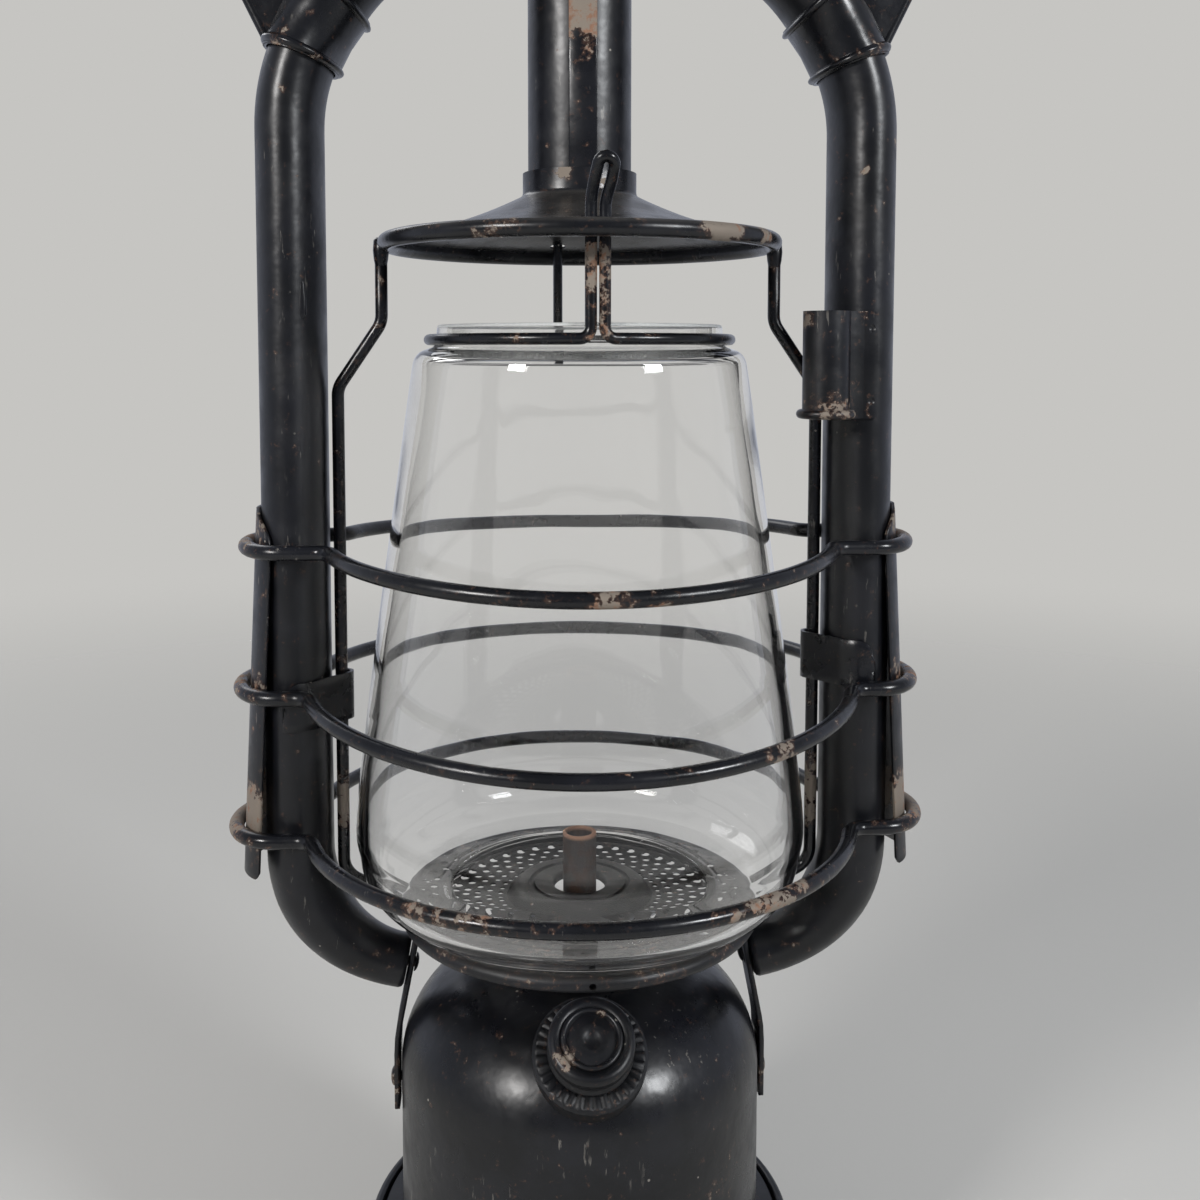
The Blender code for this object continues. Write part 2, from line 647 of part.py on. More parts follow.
def filler():
    """The neck with its toothed flange, the turned cap and the washer under its face."""
    steps = 2 * TEETH
    flat = [(NECK_BORE_R, -NECK_ROOT), (FLANGE_R, -NECK_ROOT), (FLANGE_R, FLANGE_TOP - FLANGE_BEVEL)]
    flat += [(FLANGE_R - FLANGE_BEVEL, FLANGE_TOP), (TOOTH_OUT_R, FLANGE_TOP), (TOOTH_IN_R, FLANGE_TOP)]
    flat += [(NECK_R, FLANGE_TOP), (NECK_R, NECK_TOP), (NECK_BORE_R, NECK_TOP)]
    mesh_data = lathe(flat, steps)
    for point in mesh_data.verts:
        radius = hypot(point.co.x, point.co.y)
        step = round(atan2(point.co.y, point.co.x) * steps / (2 * pi))
        on_teeth = TOOTH_IN_R - FIT < radius < TOOTH_OUT_R + FIT
        if on_teeth and step % 2 and point.co.z > 0:
            point.co.z += TOOTH_HEIGHT
    bmesh.ops.transform(mesh_data, matrix=filler_place(), verts=mesh_data.verts)
    neck = make_object("filler_neck", mesh_data, BLACK_PAINT, radians(25))
    body = shell_outline(FIT, FLOOR_Z, 0)
    cut(neck, turned("tank_body_tool", body + [(0, FLOOR_Z)], TANK_SIDES, BLACK_PAINT))

    ceiling = NECK_TOP + FIT + WASHER_HEIGHT + FIT
    face = ceiling + CAP_WALL
    inside_r = CAP_R - CAP_WALL
    cap = [(inside_r, CAP_SKIRT_FOOT), (CAP_R, CAP_SKIRT_FOOT), (CAP_R, face - CAP_EDGE)]
    cap += [(CAP_R - CAP_EDGE * 0.3, face - CAP_EDGE * 0.3), (CAP_R - CAP_EDGE, face)]
    cap += [(CAP_RING_R + CAP_RING_HALF, face - CAP_DISH), (CAP_RING_R, face + CAP_RING_RISE)]
    cap += [(CAP_RING_R - CAP_RING_HALF * 2, face - CAP_DISH), (CAP_DIMPLE_R * 1.6, face - CAP_DISH / 2)]
    cap += [(CAP_DIMPLE_R, face), (0, face - CAP_DIMPLE_DEPTH), (0, ceiling), (inside_r, ceiling)]
    turned("filler_cap", cap, CAP_SIDES, BLACK_PAINT, filler_place())

    foot = NECK_TOP + FIT
    edge = inside_r - FIT
    washer = [(WASHER_BORE_R, foot), (edge, foot), (edge, foot + WASHER_HEIGHT), (WASHER_BORE_R, foot + WASHER_HEIGHT)]
    turned("cap_washer", washer, SMALL_SIDES, RUBBER, filler_place())


def strap_outer_x(z):
    """Where the strap's outer face stands at a height."""
    lower = TANK_R + FIT + STRAP_THICK
    return lower - max(z - STRAP_BEND_Z, 0) * tan(STRAP_TILT)


def tube_end():
    """Lower end of a tube's centre line, (x, z), flush with the strap's outer face."""
    turn = pi / 2 - STRAP_TILT
    x = TUBE_X - LOW_BEND_R + LOW_BEND_R * cos(turn)
    z = LOW_BEND_Z - LOW_BEND_R * sin(turn)
    run = (x - strap_outer_x(z)) * cos(STRAP_TILT) - FIT
    return x - run * cos(STRAP_TILT), z - run * sin(STRAP_TILT)


def straps_and_rivets():
    """Flat bars from the tank's sides up under the gallery, riveted to the tank and the tubes."""
    end_x, end_z = tube_end()
    top_z = GALLERY_Z - SHEET - FIT
    inward = Vector((-cos(STRAP_TILT), 0, -sin(STRAP_TILT)))
    rivets = []
    for side, word in ((-1, "left"), (1, "right")):
        line = [(strap_outer_x(z), z) for z in (STRAP_FOOT_Z, STRAP_BEND_Z, top_z)]
        outline = sheet_outline(line, STRAP_THICK)
        outline[2] = (outline[2][0], top_z)
        outline[3] = (outline[3][0], top_z)
        rings = [[Vector((side * x, y, z)) for x, z in outline] for y in (-STRAP_HALF, STRAP_HALF)]
        strap = make_object(f"strap_{word}", loft(rings), BLACK_PAINT)

        foot = Vector((strap_outer_x(RIVET_FOOT_Z) + FIT, 0, RIVET_FOOT_Z))
        top = Vector((end_x, 0, end_z)) + inward * (FIT + STRAP_THICK + FIT)
        rivets.append(("foot", side, foot, Vector((-1, 0, 0)), STRAP_THICK + SHEET + FIT))
        rivets.append(("top", side, top, -inward, STRAP_THICK + TUBE_END_WALL / 2))
        for place, _, head, heading, length in rivets[-2:]:
            start = head - heading * OVERRUN
            end = head + heading * (length + OVERRUN)
            start.x, end.x = side * start.x, side * end.x
            cut(strap, rod_between(f"{place}_rivet_hole_tool_{word}", start, end, RIVET_R + FIT, 8))
    for spot, side, head, heading, length in rivets:
        outline = [(0, -RIVET_HEAD), (RIVET_HEAD_R * 0.6, -RIVET_HEAD), (RIVET_HEAD_R, 0), (RIVET_R, 0)]
        outline += [(RIVET_R, length), (0, length)]
        place = Matrix.Translation(head) @ Vector((0, 0, 1)).rotation_difference(heading).to_matrix().to_4x4()
        if side < 0:
            place = Matrix.Scale(-1, 4, (1, 0, 0)) @ place
        word = "left" if side < 0 else "right"
        turned(f"strap_rivet_{spot}_{word}", outline, 8, BLACK_PAINT, place)


def bend_point(turn):
    """A point (x, z) of a tube's upper arc and the heading there, for the right-hand side."""
    centre_x = TUBE_X - TOP_BEND_R
    return centre_x + TOP_BEND_R * cos(turn), TOP_BEND_Z + TOP_BEND_R * sin(turn), turn + pi / 2


def tube_stations():
    """Stations of the right-hand side tube from its pinched foot to its top."""
    stations = []
    last = pi / 2 - STRAP_TILT
    end_x, end_z = tube_end()
    stations.append((end_x, end_z, pi / 2 + STRAP_TILT - pi / 2, TUBE_END_HALF_X, TUBE_END_HALF_Y))
    steps = 6
    for i in range(steps + 1):
        turn = last * (1 - i / steps)
        share = min(1.0, 1.25 * i / steps)
        ease = share * share * (3 - 2 * share)
        half_x = TUBE_END_HALF_X + (TUBE_HALF_X - TUBE_END_HALF_X) * ease
        half_y = TUBE_END_HALF_Y + (TUBE_HALF_Y - TUBE_END_HALF_Y) * ease
        x = TUBE_X - LOW_BEND_R + LOW_BEND_R * cos(turn)
        z = LOW_BEND_Z - LOW_BEND_R * sin(turn)
        stations.append((x, z, pi / 2 - turn, half_x, half_y))
    steps = 3
    for i in range(steps + 1):
        stations.append((*bend_point(TUBE_TOP_ANGLE * i / steps), TUBE_HALF_X, TUBE_HALF_Y))
    return stations


def side_tubes():
    """Two bent oval tubes, closed and pinched at the foot and open at the top."""
    stations = tube_stations()
    end_x, end_z = tube_end()
    heading = Vector((cos(STRAP_TILT), 0, sin(STRAP_TILT)))
    for side, word in ((-1, "left"), (1, "right")):
        outside = oval_rings(stations)
        inside = oval_rings(stations[2:], -TUBE_WALL)
        tube = make_object(f"side_tube_{word}", loft(mirrored(outside + inside[::-1], side)), BLACK_PAINT)
        start = Vector((end_x, 0, end_z)) - heading * OVERRUN
        end = Vector((end_x, 0, end_z)) + heading * (TUBE_END_WALL / 2 + FIT + FIT)
        start.x, end.x = side * start.x, side * end.x
        cut(tube, rod_between(f"tube_rivet_hole_tool_{word}", start, end, RIVET_R + FIT, 8))


def arm_stations():
    """Stations of the right-hand cross arm from the collar to the hood."""
    stations = []
    start = TUBE_TOP_ANGLE + ARM_GAP_ANGLE
    steps = 4
    knee = bend_point(ARM_ARC_END)
    for i in range(steps + 1):
        turn = start + (ARM_ARC_END - start) * i / steps
        share = max(0.0, (turn - COLLAR_TO) / (ARM_ARC_END - COLLAR_TO))
        half_x = TUBE_HALF_X + (ARM_HALF_X - TUBE_HALF_X) * share
        half_y = TUBE_HALF_Y + (ARM_HALF_Y - TUBE_HALF_Y) * share
        stations.append((*bend_point(turn), half_x, half_y))
    end_x = HOOD_R - SHEET - ARM_REACH
    run = (knee[0] - end_x) / -cos(knee[2])
    stations.append((end_x, knee[1] + run * sin(knee[2]), knee[2], ARM_HALF_X, ARM_HALF_Y))
    return stations


def arms():
    """Two hollow arms that carry the hood."""
    stations = arm_stations()
    for side, word in ((-1, "left"), (1, "right")):
        rings = oval_rings(stations) + oval_rings(stations, -TUBE_WALL)[::-1]
        make_object(f"arm_{word}", loft(mirrored(rings, side), closed=True), BLACK_PAINT)


def ear_outline():
    """The ear's outline (x, z) from the collar round the bail's pivot."""
    centre = (TUBE_X - TOP_BEND_R, TOP_BEND_Z)
    root = TOP_BEND_R + TUBE_HALF_X + FIT + COLLAR_WALL - EAR_ROOT / 2
    span = COLLAR_TO - COLLAR_FROM
    base = arc(centre, root, COLLAR_TO - span / 5, COLLAR_FROM + span / 12, 3)
    lobe = arc((EAR_X, EAR_Z), EAR_R, radians(-48), radians(140), 6)
    return base + lobe


def collars():
    """Sleeves with two rolled beads, and the ear that each carries for the bail."""
    span = COLLAR_TO - COLLAR_FROM
    shares = (0.0, 0.05, 0.14, 0.2, 0.8, 0.86, 0.95, 1.0)
    bead_shares = (0.3, 1.0, 1.0, 0.0, 0.0, 1.0, 1.0, 0.3)
    for side, word in ((-1, "left"), (1, "right")):
        rings = []
        for share, bead in zip(shares, bead_shares):
            station = (*bend_point(COLLAR_FROM + span * share), TUBE_HALF_X, TUBE_HALF_Y)
            rings += oval_rings([station], FIT + COLLAR_WALL + COLLAR_BEAD * bead)
        collar = make_object(f"collar_{word}", loft(mirrored(rings, side)), BLACK_PAINT)
        outline = [(side * x, z) for x, z in ear_outline()]
        plate_rings = [[Vector((x, y, z)) for x, z in outline] for y in (-EAR_HALF, EAR_HALF)]
        plate = make_object(f"ear_plate_tool_{word}", loft(plate_rings), BLACK_PAINT)
        rim_path = [Vector((side * x, 0, z)) for x, z in ear_outline()[3:] + ear_outline()[:1]]
        rim = wire(f"ear_rim_tool_{word}", rim_path, EAR_RIM_R, BLACK_PAINT)
        boss = rod_between(f"ear_boss_tool_{word}", (side * (EAR_X - BOSS_IN), 0, EAR_Z),
                           (side * (EAR_X + BOSS_OUT), 0, EAR_Z), BOSS_R, 12)
        join(collar, plate, rim, boss, solver="MANIFOLD")
        bore_ends = (COLLAR_FROM - span / 6, COLLAR_FROM, COLLAR_FROM + span / 2, COLLAR_TO, COLLAR_TO + span / 6)
        bore_stations = [(*bend_point(turn), TUBE_HALF_X, TUBE_HALF_Y) for turn in bore_ends]
        bore = make_object(f"collar_bore_tool_{word}", loft(mirrored(oval_rings(bore_stations, FIT), side)),
                           BLACK_PAINT)
        hole = rod_between(f"ear_hole_tool_{word}", (side * (EAR_X - BAIL_HOOK - OVERRUN), 0, EAR_Z),
                           (side * (EAR_X + EAR_R + OVERRUN), 0, EAR_Z), BAIL_R + FIT, 12)
        cut(collar, bore, hole, solver="MANIFOLD")


def bail():
    """One wire, its ends turned in through the ears."""
    half = EAR_X + BOSS_OUT + BAIL_GAP + BAIL_R
    path = rounded([(BAIL_HOOK - EAR_X, 0, EAR_Z), (-half, 0, EAR_Z), (-half, 0, BAIL_LEG_Z)], BAIL_CORNER_R)
    rise = BAIL_TOP_Z - BAIL_R - BAIL_LEG_Z
    steps = 18
    for i in range(1, steps):
        turn = pi * i / steps
        path.append(Vector((-half * cos(turn), 0, BAIL_LEG_Z + rise * sin(turn))))
    path += [Vector((-p.x, p.y, p.z)) for p in reversed(path[:-(steps - 1)])]
    wire("bail", path, BAIL_R, BLACK_PAINT)


def hood():
    """The hood's drum and sleeve, and the vented cover on top."""
    slope_z = HOOD_FOOT_Z + HOOD_SLOPE
    drum = [(SLEEVE_R, HOOD_FOOT_Z), (SLEEVE_R + SHEET, HOOD_FOOT_Z), (HOOD_R - SHEET, slope_z)]
    drum += [(HOOD_R, slope_z + SHEET), (HOOD_R, HOOD_WALL_TOP_Z), (HOOD_R - SHEET, HOOD_WALL_TOP_Z)]
    drum += [(HOOD_R - SHEET, slope_z + SHEET), (SLEEVE_R + SHEET, HOOD_FOOT_Z + SHEET)]
    drum += [(SLEEVE_R + SHEET, SLEEVE_TOP_Z), (SLEEVE_R, SLEEVE_TOP_Z)]
    item = turned("hood", drum, HOOD_SIDES, BLACK_PAINT)
    stations = arm_stations()[-2:]
    x, z, heading, half_x, half_y = stations[1]
    reach = ARM_REACH + OVERRUN
    inner = (x + reach * cos(heading), z + reach * sin(heading), heading, half_x, half_y)
    outer = (x - 2 * reach * cos(heading), z - 2 * reach * sin(heading), heading, half_x, half_y)
    for side, word in ((-1, "left"), (1, "right")):
        tool = make_object(f"arm_hole_tool_{word}", loft(mirrored(oval_rings([inner, outer], FIT), side)), BLACK_PAINT)
        cut(item, tool)

    cover_r = HOOD_R + FIT + SHEET
    wall_top = COVER_FOOT_Z + COVER_WALL
    dome = [(cover_r * cos(a), wall_top + COVER_RISE * sin(a)) for a in (0, 0.45, 0.9, 1.25)]
    outside = [(cover_r + COVER_BEAD, COVER_FOOT_Z), (cover_r + COVER_BEAD, COVER_FOOT_Z + 2 * COVER_BEAD),
               (cover_r, COVER_FOOT_Z + 3 * COVER_BEAD), *dome, (0, wall_top + COVER_RISE)]
    inner_r = cover_r - SHEET
    inside = [(inner_r * cos(a), wall_top + (COVER_RISE - SHEET) * sin(a)) for a in (0, 0.45, 0.9, 1.25)]
    inside = [(inner_r, COVER_FOOT_Z), *inside, (0, wall_top + COVER_RISE - SHEET)]
    cover = turned("hood_cover", outside + inside[::-1], HOOD_SIDES, BLACK_PAINT)
    for i in range(VENTS // 2):
        turn = pi * (i + 0.5) / (VENTS // 2)
        reach = Vector((cos(turn), sin(turn), 0)) * (cover_r + OVERRUN)
        centre = Vector((0, 0, (wall_top + HOOD_WALL_TOP_Z) / 2 + VENT_R))
        cut(cover, rod_between(f"vent_tool_{i}", centre - reach, centre + reach, VENT_R, 8))


def strip_lean(z):
    """How far a guard strip stands off the tube at a height, beyond its fit."""
    return (STRIP_TOP_Z - z) * STRIP_LEAN_SHARE


def guard_path(strand_z, ring_r, droop_front, droop_back):
    """One ring: arcs in front and behind, and a loop round each tube and its strip."""
    half_x = TUBE_HALF_X + FIT + SHEET + FIT + GUARD_R
    half_y = TUBE_HALF_Y + FIT + SHEET + FIT + GUARD_R
    centre_x = TUBE_X + strip_lean(strand_z)
    fillet_y = half_y + GUARD_BEND_R
    fillet_x = sqrt((ring_r + GUARD_BEND_R) ** 2 - fillet_y ** 2)
    turn = atan2(-fillet_y, fillet_x)
    quarter = arc((0, 0), ring_r, -pi / 2, turn, 5)
    quarter += arc((fillet_x, -fillet_y), GUARD_BEND_R, turn + pi, pi / 2, 2)[1:]
    quarter += [(centre_x + half_x * cos(a), half_y * sin(a)) for a in (-pi / 2 * i / 5 for i in range(5, -1, -1))]
    right = quarter + [(x, -y) for x, y in quarter[-2::-1]]
    flat = right + [(-x, y) for x, y in right[-2:0:-1]]
    path = []
    for x, y in flat:
        droop = droop_front if y < 0 else droop_back
        path.append(Vector((x, y, strand_z - droop * (y / ring_r) ** 2)))
    return path


def guards():
    """Three wire rings round the globe, and the strips that they are brazed to."""
    for i, (word, ring_share, front_share, back_share) in enumerate(GUARD_RING_SHARES):
        strand_z = GUARD_TOP_Z - i * GUARD_PITCH
        ring_r = ring_share * (GLOBE_R + GUARD_STANDOFF)
        path = guard_path(strand_z, ring_r, front_share * GUARD_PITCH, back_share * GUARD_PITCH)
        wire(f"guard_ring_{word}", path, GUARD_R, WORN_PAINT, closed=True)

    shoulder_z = STRIP_TOP_Z - STRIP_SHOULDER
    rows = [(STRIP_FOOT_Z, 1.0), ((STRIP_FOOT_Z + shoulder_z) / 2, 1.0), (shoulder_z, 1.0)]
    rows += [(shoulder_z + STRIP_SHOULDER * 0.6, 0.72), (STRIP_TOP_Z, 0.2)]
    steps = 8
    for side, word in ((-1, "left"), (1, "right")):
        rings = []
        for z, wrap_share in rows:
            turns = [STRIP_WRAP * wrap_share * (2 * i / steps - 1) for i in range(steps + 1)]
            centre_x = TUBE_X + strip_lean(z)
            ring = []
            for grow, order in ((FIT + SHEET, turns), (FIT, turns[::-1])):
                for turn in order:
                    x = centre_x + (TUBE_HALF_X + grow) * cos(turn)
                    ring.append(Vector((side * x, (TUBE_HALF_Y + grow) * sin(turn), z)))
            rings.append(ring)
        make_object(f"guard_strip_{word}", loft(rings), WORN_PAINT)


def chimney():
    """The chimney tube with its lapped seam in front."""
    turns = [-pi / 2 + 2 * pi * i / HOOD_SIDES for i in range(2, HOOD_SIDES - 1)]
    step = radians(1.2)
    edges = [-pi / 2 + a for a in (-SEAM_HALF - step, -SEAM_HALF, 0, SEAM_HALF, SEAM_HALF + step)]
    outside = [(CHIMNEY_R, a) for a in turns]
    outside += [(CHIMNEY_R, edges[0]), (CHIMNEY_R + SEAM_RISE, edges[1]), (CHIMNEY_R + SEAM_RISE, edges[2])]
    outside += [(CHIMNEY_R + SEAM_RISE, edges[3]), (CHIMNEY_R, edges[4])]
    rings = []
    for z, inside in ((CHIMNEY_FOOT_Z, False), (CHIMNEY_TOP_Z, False), (CHIMNEY_TOP_Z, True), (CHIMNEY_FOOT_Z, True)):
        radii = [(CHIMNEY_R - SHEET if inside else radius, a) for radius, a in outside]
        rings.append([Vector((radius * cos(a), radius * sin(a), z)) for radius, a in radii])
    make_object("chimney_tube", loft(rings, closed=True), WORN_PAINT)


def rolled_edge(centre, radius):
    """The outside of a rolled rim, from the sheet's underside round to its top."""
    return arc(centre, radius, radians(175), radians(470), 4)


def globe_plate():
    """The dished plate over the globe, with its neck, rolled rim, slot and back hole."""
    neck_r = CHIMNEY_R + SEAM_RISE + FIT
    edge_r = PLATE_RIM_R - PLATE_ROLL_R
    edge_z = PLATE_RIM_Z + PLATE_ROLL_R * 0.6
    under = [(neck_r, PLATE_NECK_TOP_Z)]
    steps = 4
    for i in range(steps + 1):
        share = i / steps
        height = edge_z + (PLATE_NECK_FOOT_Z - edge_z) * (1 - share) ** 1.4
        under.append((neck_r + (edge_r - neck_r) * share, height))
    outline = under + rolled_edge((PLATE_RIM_R, PLATE_RIM_Z), PLATE_ROLL_R) + offset_line(under, SHEET)[::-1]
    plate = turned("globe_plate", outline, TANK_SIDES, WORN_PAINT)
    reach = RETAINER_R + SLIDE_FIT
    low, high = RETAINER_TWIN_X - reach, RETAINER_TWIN_X + RETAINER_TWIN_GAP + reach
    front, back = -RETAINER_RING_R - SLOT_HALF_Y, -RETAINER_RING_R + SLOT_HALF_Y
    box = [(low, front), (high, front), (high, back), (low, back)]
    slot = make_object("plate_slot_tool", prism(box, PLATE_RIM_Z, PLATE_NECK_FOOT_Z), BARE_STEEL)
    back_wire = rod_between("plate_hole_tool", (RETAINER_BACK_X, RETAINER_RING_R, PLATE_RIM_Z),
                            (RETAINER_BACK_X, RETAINER_RING_R, PLATE_NECK_FOOT_Z), BACK_HOLE_R, 12)
    cut(plate, slot, back_wire)


def gallery_rim():
    """Centre (radius, height) of the gallery's rolled rim."""
    return GALLERY_RIM_R, GALLERY_Z - GALLERY_ROLL_R


def lift_wires():
    """Two wires from the plate's rim, down inside the tubes, to the gallery's rim."""
    rim_r, rim_z = gallery_rim()
    reach = GALLERY_ROLL_R + FIT
    toe = (rim_r + reach * cos(LIFT_TOE), rim_z + reach * sin(LIFT_TOE))
    knee_z = toe[1] + (LIFT_X - toe[0]) * tan(LIFT_TOE)
    top_z = PLATE_RIM_Z - PLATE_ROLL_R - FIT
    for side, word in ((-1, "left"), (1, "right")):
        corners = [(LIFT_TOP_X, top_z), (LIFT_TOP_X, LIFT_KINK_TOP_Z), (LIFT_X, LIFT_KINK_FOOT_Z),
                   (LIFT_X, knee_z), toe]
        path = rounded([(side * x, 0, z) for x, z in corners], LIFT_BEND_R)
        wire(f"lift_wire_{word}", path, LIFT_R, WORN_PAINT)


def gallery():
    """The perforated plate: raised cup with a groove, seat for the globe and rolled rim."""
    flat = GALLERY_Z - SHEET
    high = flat + CUP_RISE
    under = [(GALLERY_HOLE_R, high - CUP_LIP), (GALLERY_HOLE_R + CUP_LIP, high)]
    under += [(CUP_GROOVE_R - CUP_GROOVE, high), (CUP_GROOVE_R, high - CUP_GROOVE)]
    under += [(CUP_GROOVE_R + CUP_GROOVE, high), (CUP_R - 2 * CUP_LIP, high), (CUP_R, flat)]
    under += [(SEAT_R - 2 * SEAT_HALF, flat), (SEAT_R - SEAT_HALF, flat + SEAT_RISE)]
    under += [(SEAT_R + SEAT_HALF, flat + SEAT_RISE), (SEAT_R + 2 * SEAT_HALF, flat)]
    rim_r, rim_z = gallery_rim()
    under += [(rim_r - GALLERY_ROLL_R, flat)]
    outline = under + rolled_edge((rim_r, rim_z), GALLERY_ROLL_R) + offset_line(under, SHEET)[::-1]
    plate = turned("gallery", outline, TANK_SIDES, WORN_PAINT)

    holes = bmesh.new()
    rows = [(PERFORATION_IN_R + (PERFORATION_OUT_R - PERFORATION_IN_R) * i / (PERFORATION_ROWS - 1),
             PERFORATIONS, PERFORATION_R) for i in range(PERFORATION_ROWS)]
    rows += [(BAND_IN_R, BAND_HOLES, BAND_HOLE_R), (BAND_OUT_R, BAND_HOLES, BAND_HOLE_R)]
    for row, (row_r, count, hole_r) in enumerate(rows):
        for i in range(count):
            turn = 2 * pi * (i + PERFORATION_PHASE_SHARE + (row % 2) / 2) / count
            centre = (row_r * cos(turn), row_r * sin(turn))
            corners = [(centre[0] + hole_r * cos(turn + pi * k / 2), centre[1] + hole_r * sin(turn + pi * k / 2))
                       for k in range(4)]
            prism(corners, flat - OVERRUN, GALLERY_Z + OVERRUN, holes)
    tool = make_object("perforation_tool", holes, BARE_STEEL)
    drilled = rod_between("rim_hole_tool", (0, -rim_r - GALLERY_ROLL_R - OVERRUN, rim_z),
                          (0, -rim_r, rim_z), RIM_HOLE_R, 8)
    cut(plate, tool, drilled)


def globe():
    """Clear glass with a tapering barrel, open at the foot and the neck."""
    foot_z = GALLERY_Z + SEAT_RISE + FIT
    outside = [(r * GLOBE_R, foot_z + h * GLOBE_HEIGHT) for r, h in GLOBE_OUTLINE_SHARES]
    turned("globe", sheet_outline(outside, GLASS), GLOBE_SIDES, CLEAR_GLASS)


def globe_retainer():
    """One wire: a ring round the globe's neck, twin wires up through the plate and a finger loop."""
    left, right = RETAINER_TWIN_X, RETAINER_TWIN_X + RETAINER_TWIN_GAP
    ring_r, corner = RETAINER_RING_R, RETAINER_CORNER_R
    foot_z = RETAINER_Z + corner
    loop_x = (left + right) / 2 + RETAINER_LOOP_LEAN
    loop = arc((loop_x, RETAINER_LOOP_Z), RETAINER_LOOP_R, radians(220), radians(-40), 8)
    path = [Vector((x, -ring_r, z)) for x, z in loop]
    path += [Vector((right, -ring_r, z)) for z in (RETAINER_LOOP_Z - 2 * RETAINER_LOOP_R, foot_z)]
    path.append(Vector((right + corner * (1 - cos(pi / 4)), -ring_r, foot_z - corner * sin(pi / 4))))
    start = -pi / 2 + (right + corner) / ring_r
    end = 3 * pi / 2 + (left - corner) / ring_r
    path += [Vector((x, y, RETAINER_Z)) for x, y in arc((0, 0), ring_r, start, end, 24)]
    path.append(Vector((left - corner * (1 - cos(pi / 4)), -ring_r, foot_z - corner * sin(pi / 4))))
    path += [Vector((left, -ring_r, z)) for z in (foot_z, RETAINER_LOOP_Z - 2 * RETAINER_LOOP_R)]
    ring = wire("globe_retainer", path, RETAINER_R, WORN_PAINT, closed=True)
    back = [(RETAINER_BACK_X, ring_r, RETAINER_Z), (RETAINER_BACK_X, ring_r, RETAINER_BACK_TOP_Z)]
    back.append((RETAINER_BACK_X, ring_r - 2 * RETAINER_LOOP_R, RETAINER_BACK_TOP_Z + RETAINER_R))
    join(ring, wire("retainer_back_tool", rounded(back, corner), RETAINER_R * 0.95, WORN_PAINT))


def tube_side(turn, grow):
    """A point (x, y) on the right-hand tube's oval, grown by a distance."""
    return TUBE_X + (TUBE_HALF_X + grow) * cos(turn), (TUBE_HALF_Y + grow) * sin(turn)


def guide_clips():
    """Sheet clips on the tubes' fronts, each hooked round a lift wire."""
    bore = LIFT_R + SLIDE_FIT
    steps = 5
    path = [tube_side(CLIP_FROM + (CLIP_LEAVE - CLIP_FROM) * i / steps, FIT) for i in range(steps + 1)]
    run_x, run_y = LIFT_X - path[-1][0], -path[-1][1]
    heading = atan2(run_y, run_x) + asin(bore / hypot(run_x, run_y))
    path += arc((LIFT_X, 0), bore, heading + pi / 2, pi / 3, 5)
    outline = sheet_outline(path, SHEET)
    for side, word, foot_z in ((-1, "left", CLIP_LEFT_Z), (1, "right", CLIP_RIGHT_Z)):
        flat = [(side * x, y) for x, y in outline]
        make_object(f"wire_guide_{word}", prism(flat, foot_z, foot_z + CLIP_HEIGHT), BLACK_PAINT)


def accessory_socket():
    """A rolled socket on the right-hand tube, with its flange on the tube's front."""
    bore = SOCKET_R - SHEET
    steps = 3
    path = [tube_side(SOCKET_FLANGE_FROM + (SOCKET_FLANGE_TO - SOCKET_FLANGE_FROM) * i / steps, FIT)
            for i in range(steps + 1)]
    path += arc((SOCKET_X, SOCKET_Y), bore, radians(-5), SOCKET_SEAM - 2 * pi, 12)
    item = make_object("accessory_socket", prism(sheet_outline(path, SHEET), SOCKET_FOOT_Z,
                                                 SOCKET_FOOT_Z + SOCKET_HEIGHT), BLACK_PAINT)
    bead_z = SOCKET_FOOT_Z + SOCKET_BEAD_R
    circle = arc((SOCKET_X, SOCKET_Y), SOCKET_R + SOCKET_BEAD_R / 4, radians(-12), radians(-288), 9)
    join(item, wire("socket_bead_tool", [Vector((x, y, bead_z)) for x, y in circle], SOCKET_BEAD_R, BLACK_PAINT))


def main():
    clear_scene()
    pot_and_basket()
    water_tank()
    pipes()
    regulator()
    filler()
    straps_and_rivets()
    side_tubes()
    arms()
    collars()
    bail()
    hood()
    guards()
    chimney()
    globe_plate()
    lift_wires()
    gallery()
    globe()
    globe_retainer()
    guide_clips()
    accessory_socket()


main()
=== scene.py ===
"""Dress the carbide storm lantern: smooth sheet metal, round wires, drilled gallery, clear globe."""
from math import asin, atan2, cos, hypot, pi, radians, sin, sqrt, tan

import bmesh
import bpy
from bpy.props import FloatProperty, FloatVectorProperty, IntProperty, PointerProperty
from mathutils import Matrix, Vector


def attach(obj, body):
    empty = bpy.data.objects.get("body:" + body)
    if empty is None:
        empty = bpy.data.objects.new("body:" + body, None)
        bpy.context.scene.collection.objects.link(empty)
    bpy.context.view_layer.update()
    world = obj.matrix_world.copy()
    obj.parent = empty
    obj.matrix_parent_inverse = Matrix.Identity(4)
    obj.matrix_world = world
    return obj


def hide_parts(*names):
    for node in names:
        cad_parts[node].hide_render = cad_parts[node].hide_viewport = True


bl_info = {
    "name": "Carbide storm lantern",
    "version": (1, 0, 0),
    "blender": (4, 5, 0),
    "location": "3D View > Sidebar > Lantern",
    "description": "Builds the visible pieces and finishes of a carbide storm lantern",
    "category": "Object",
}

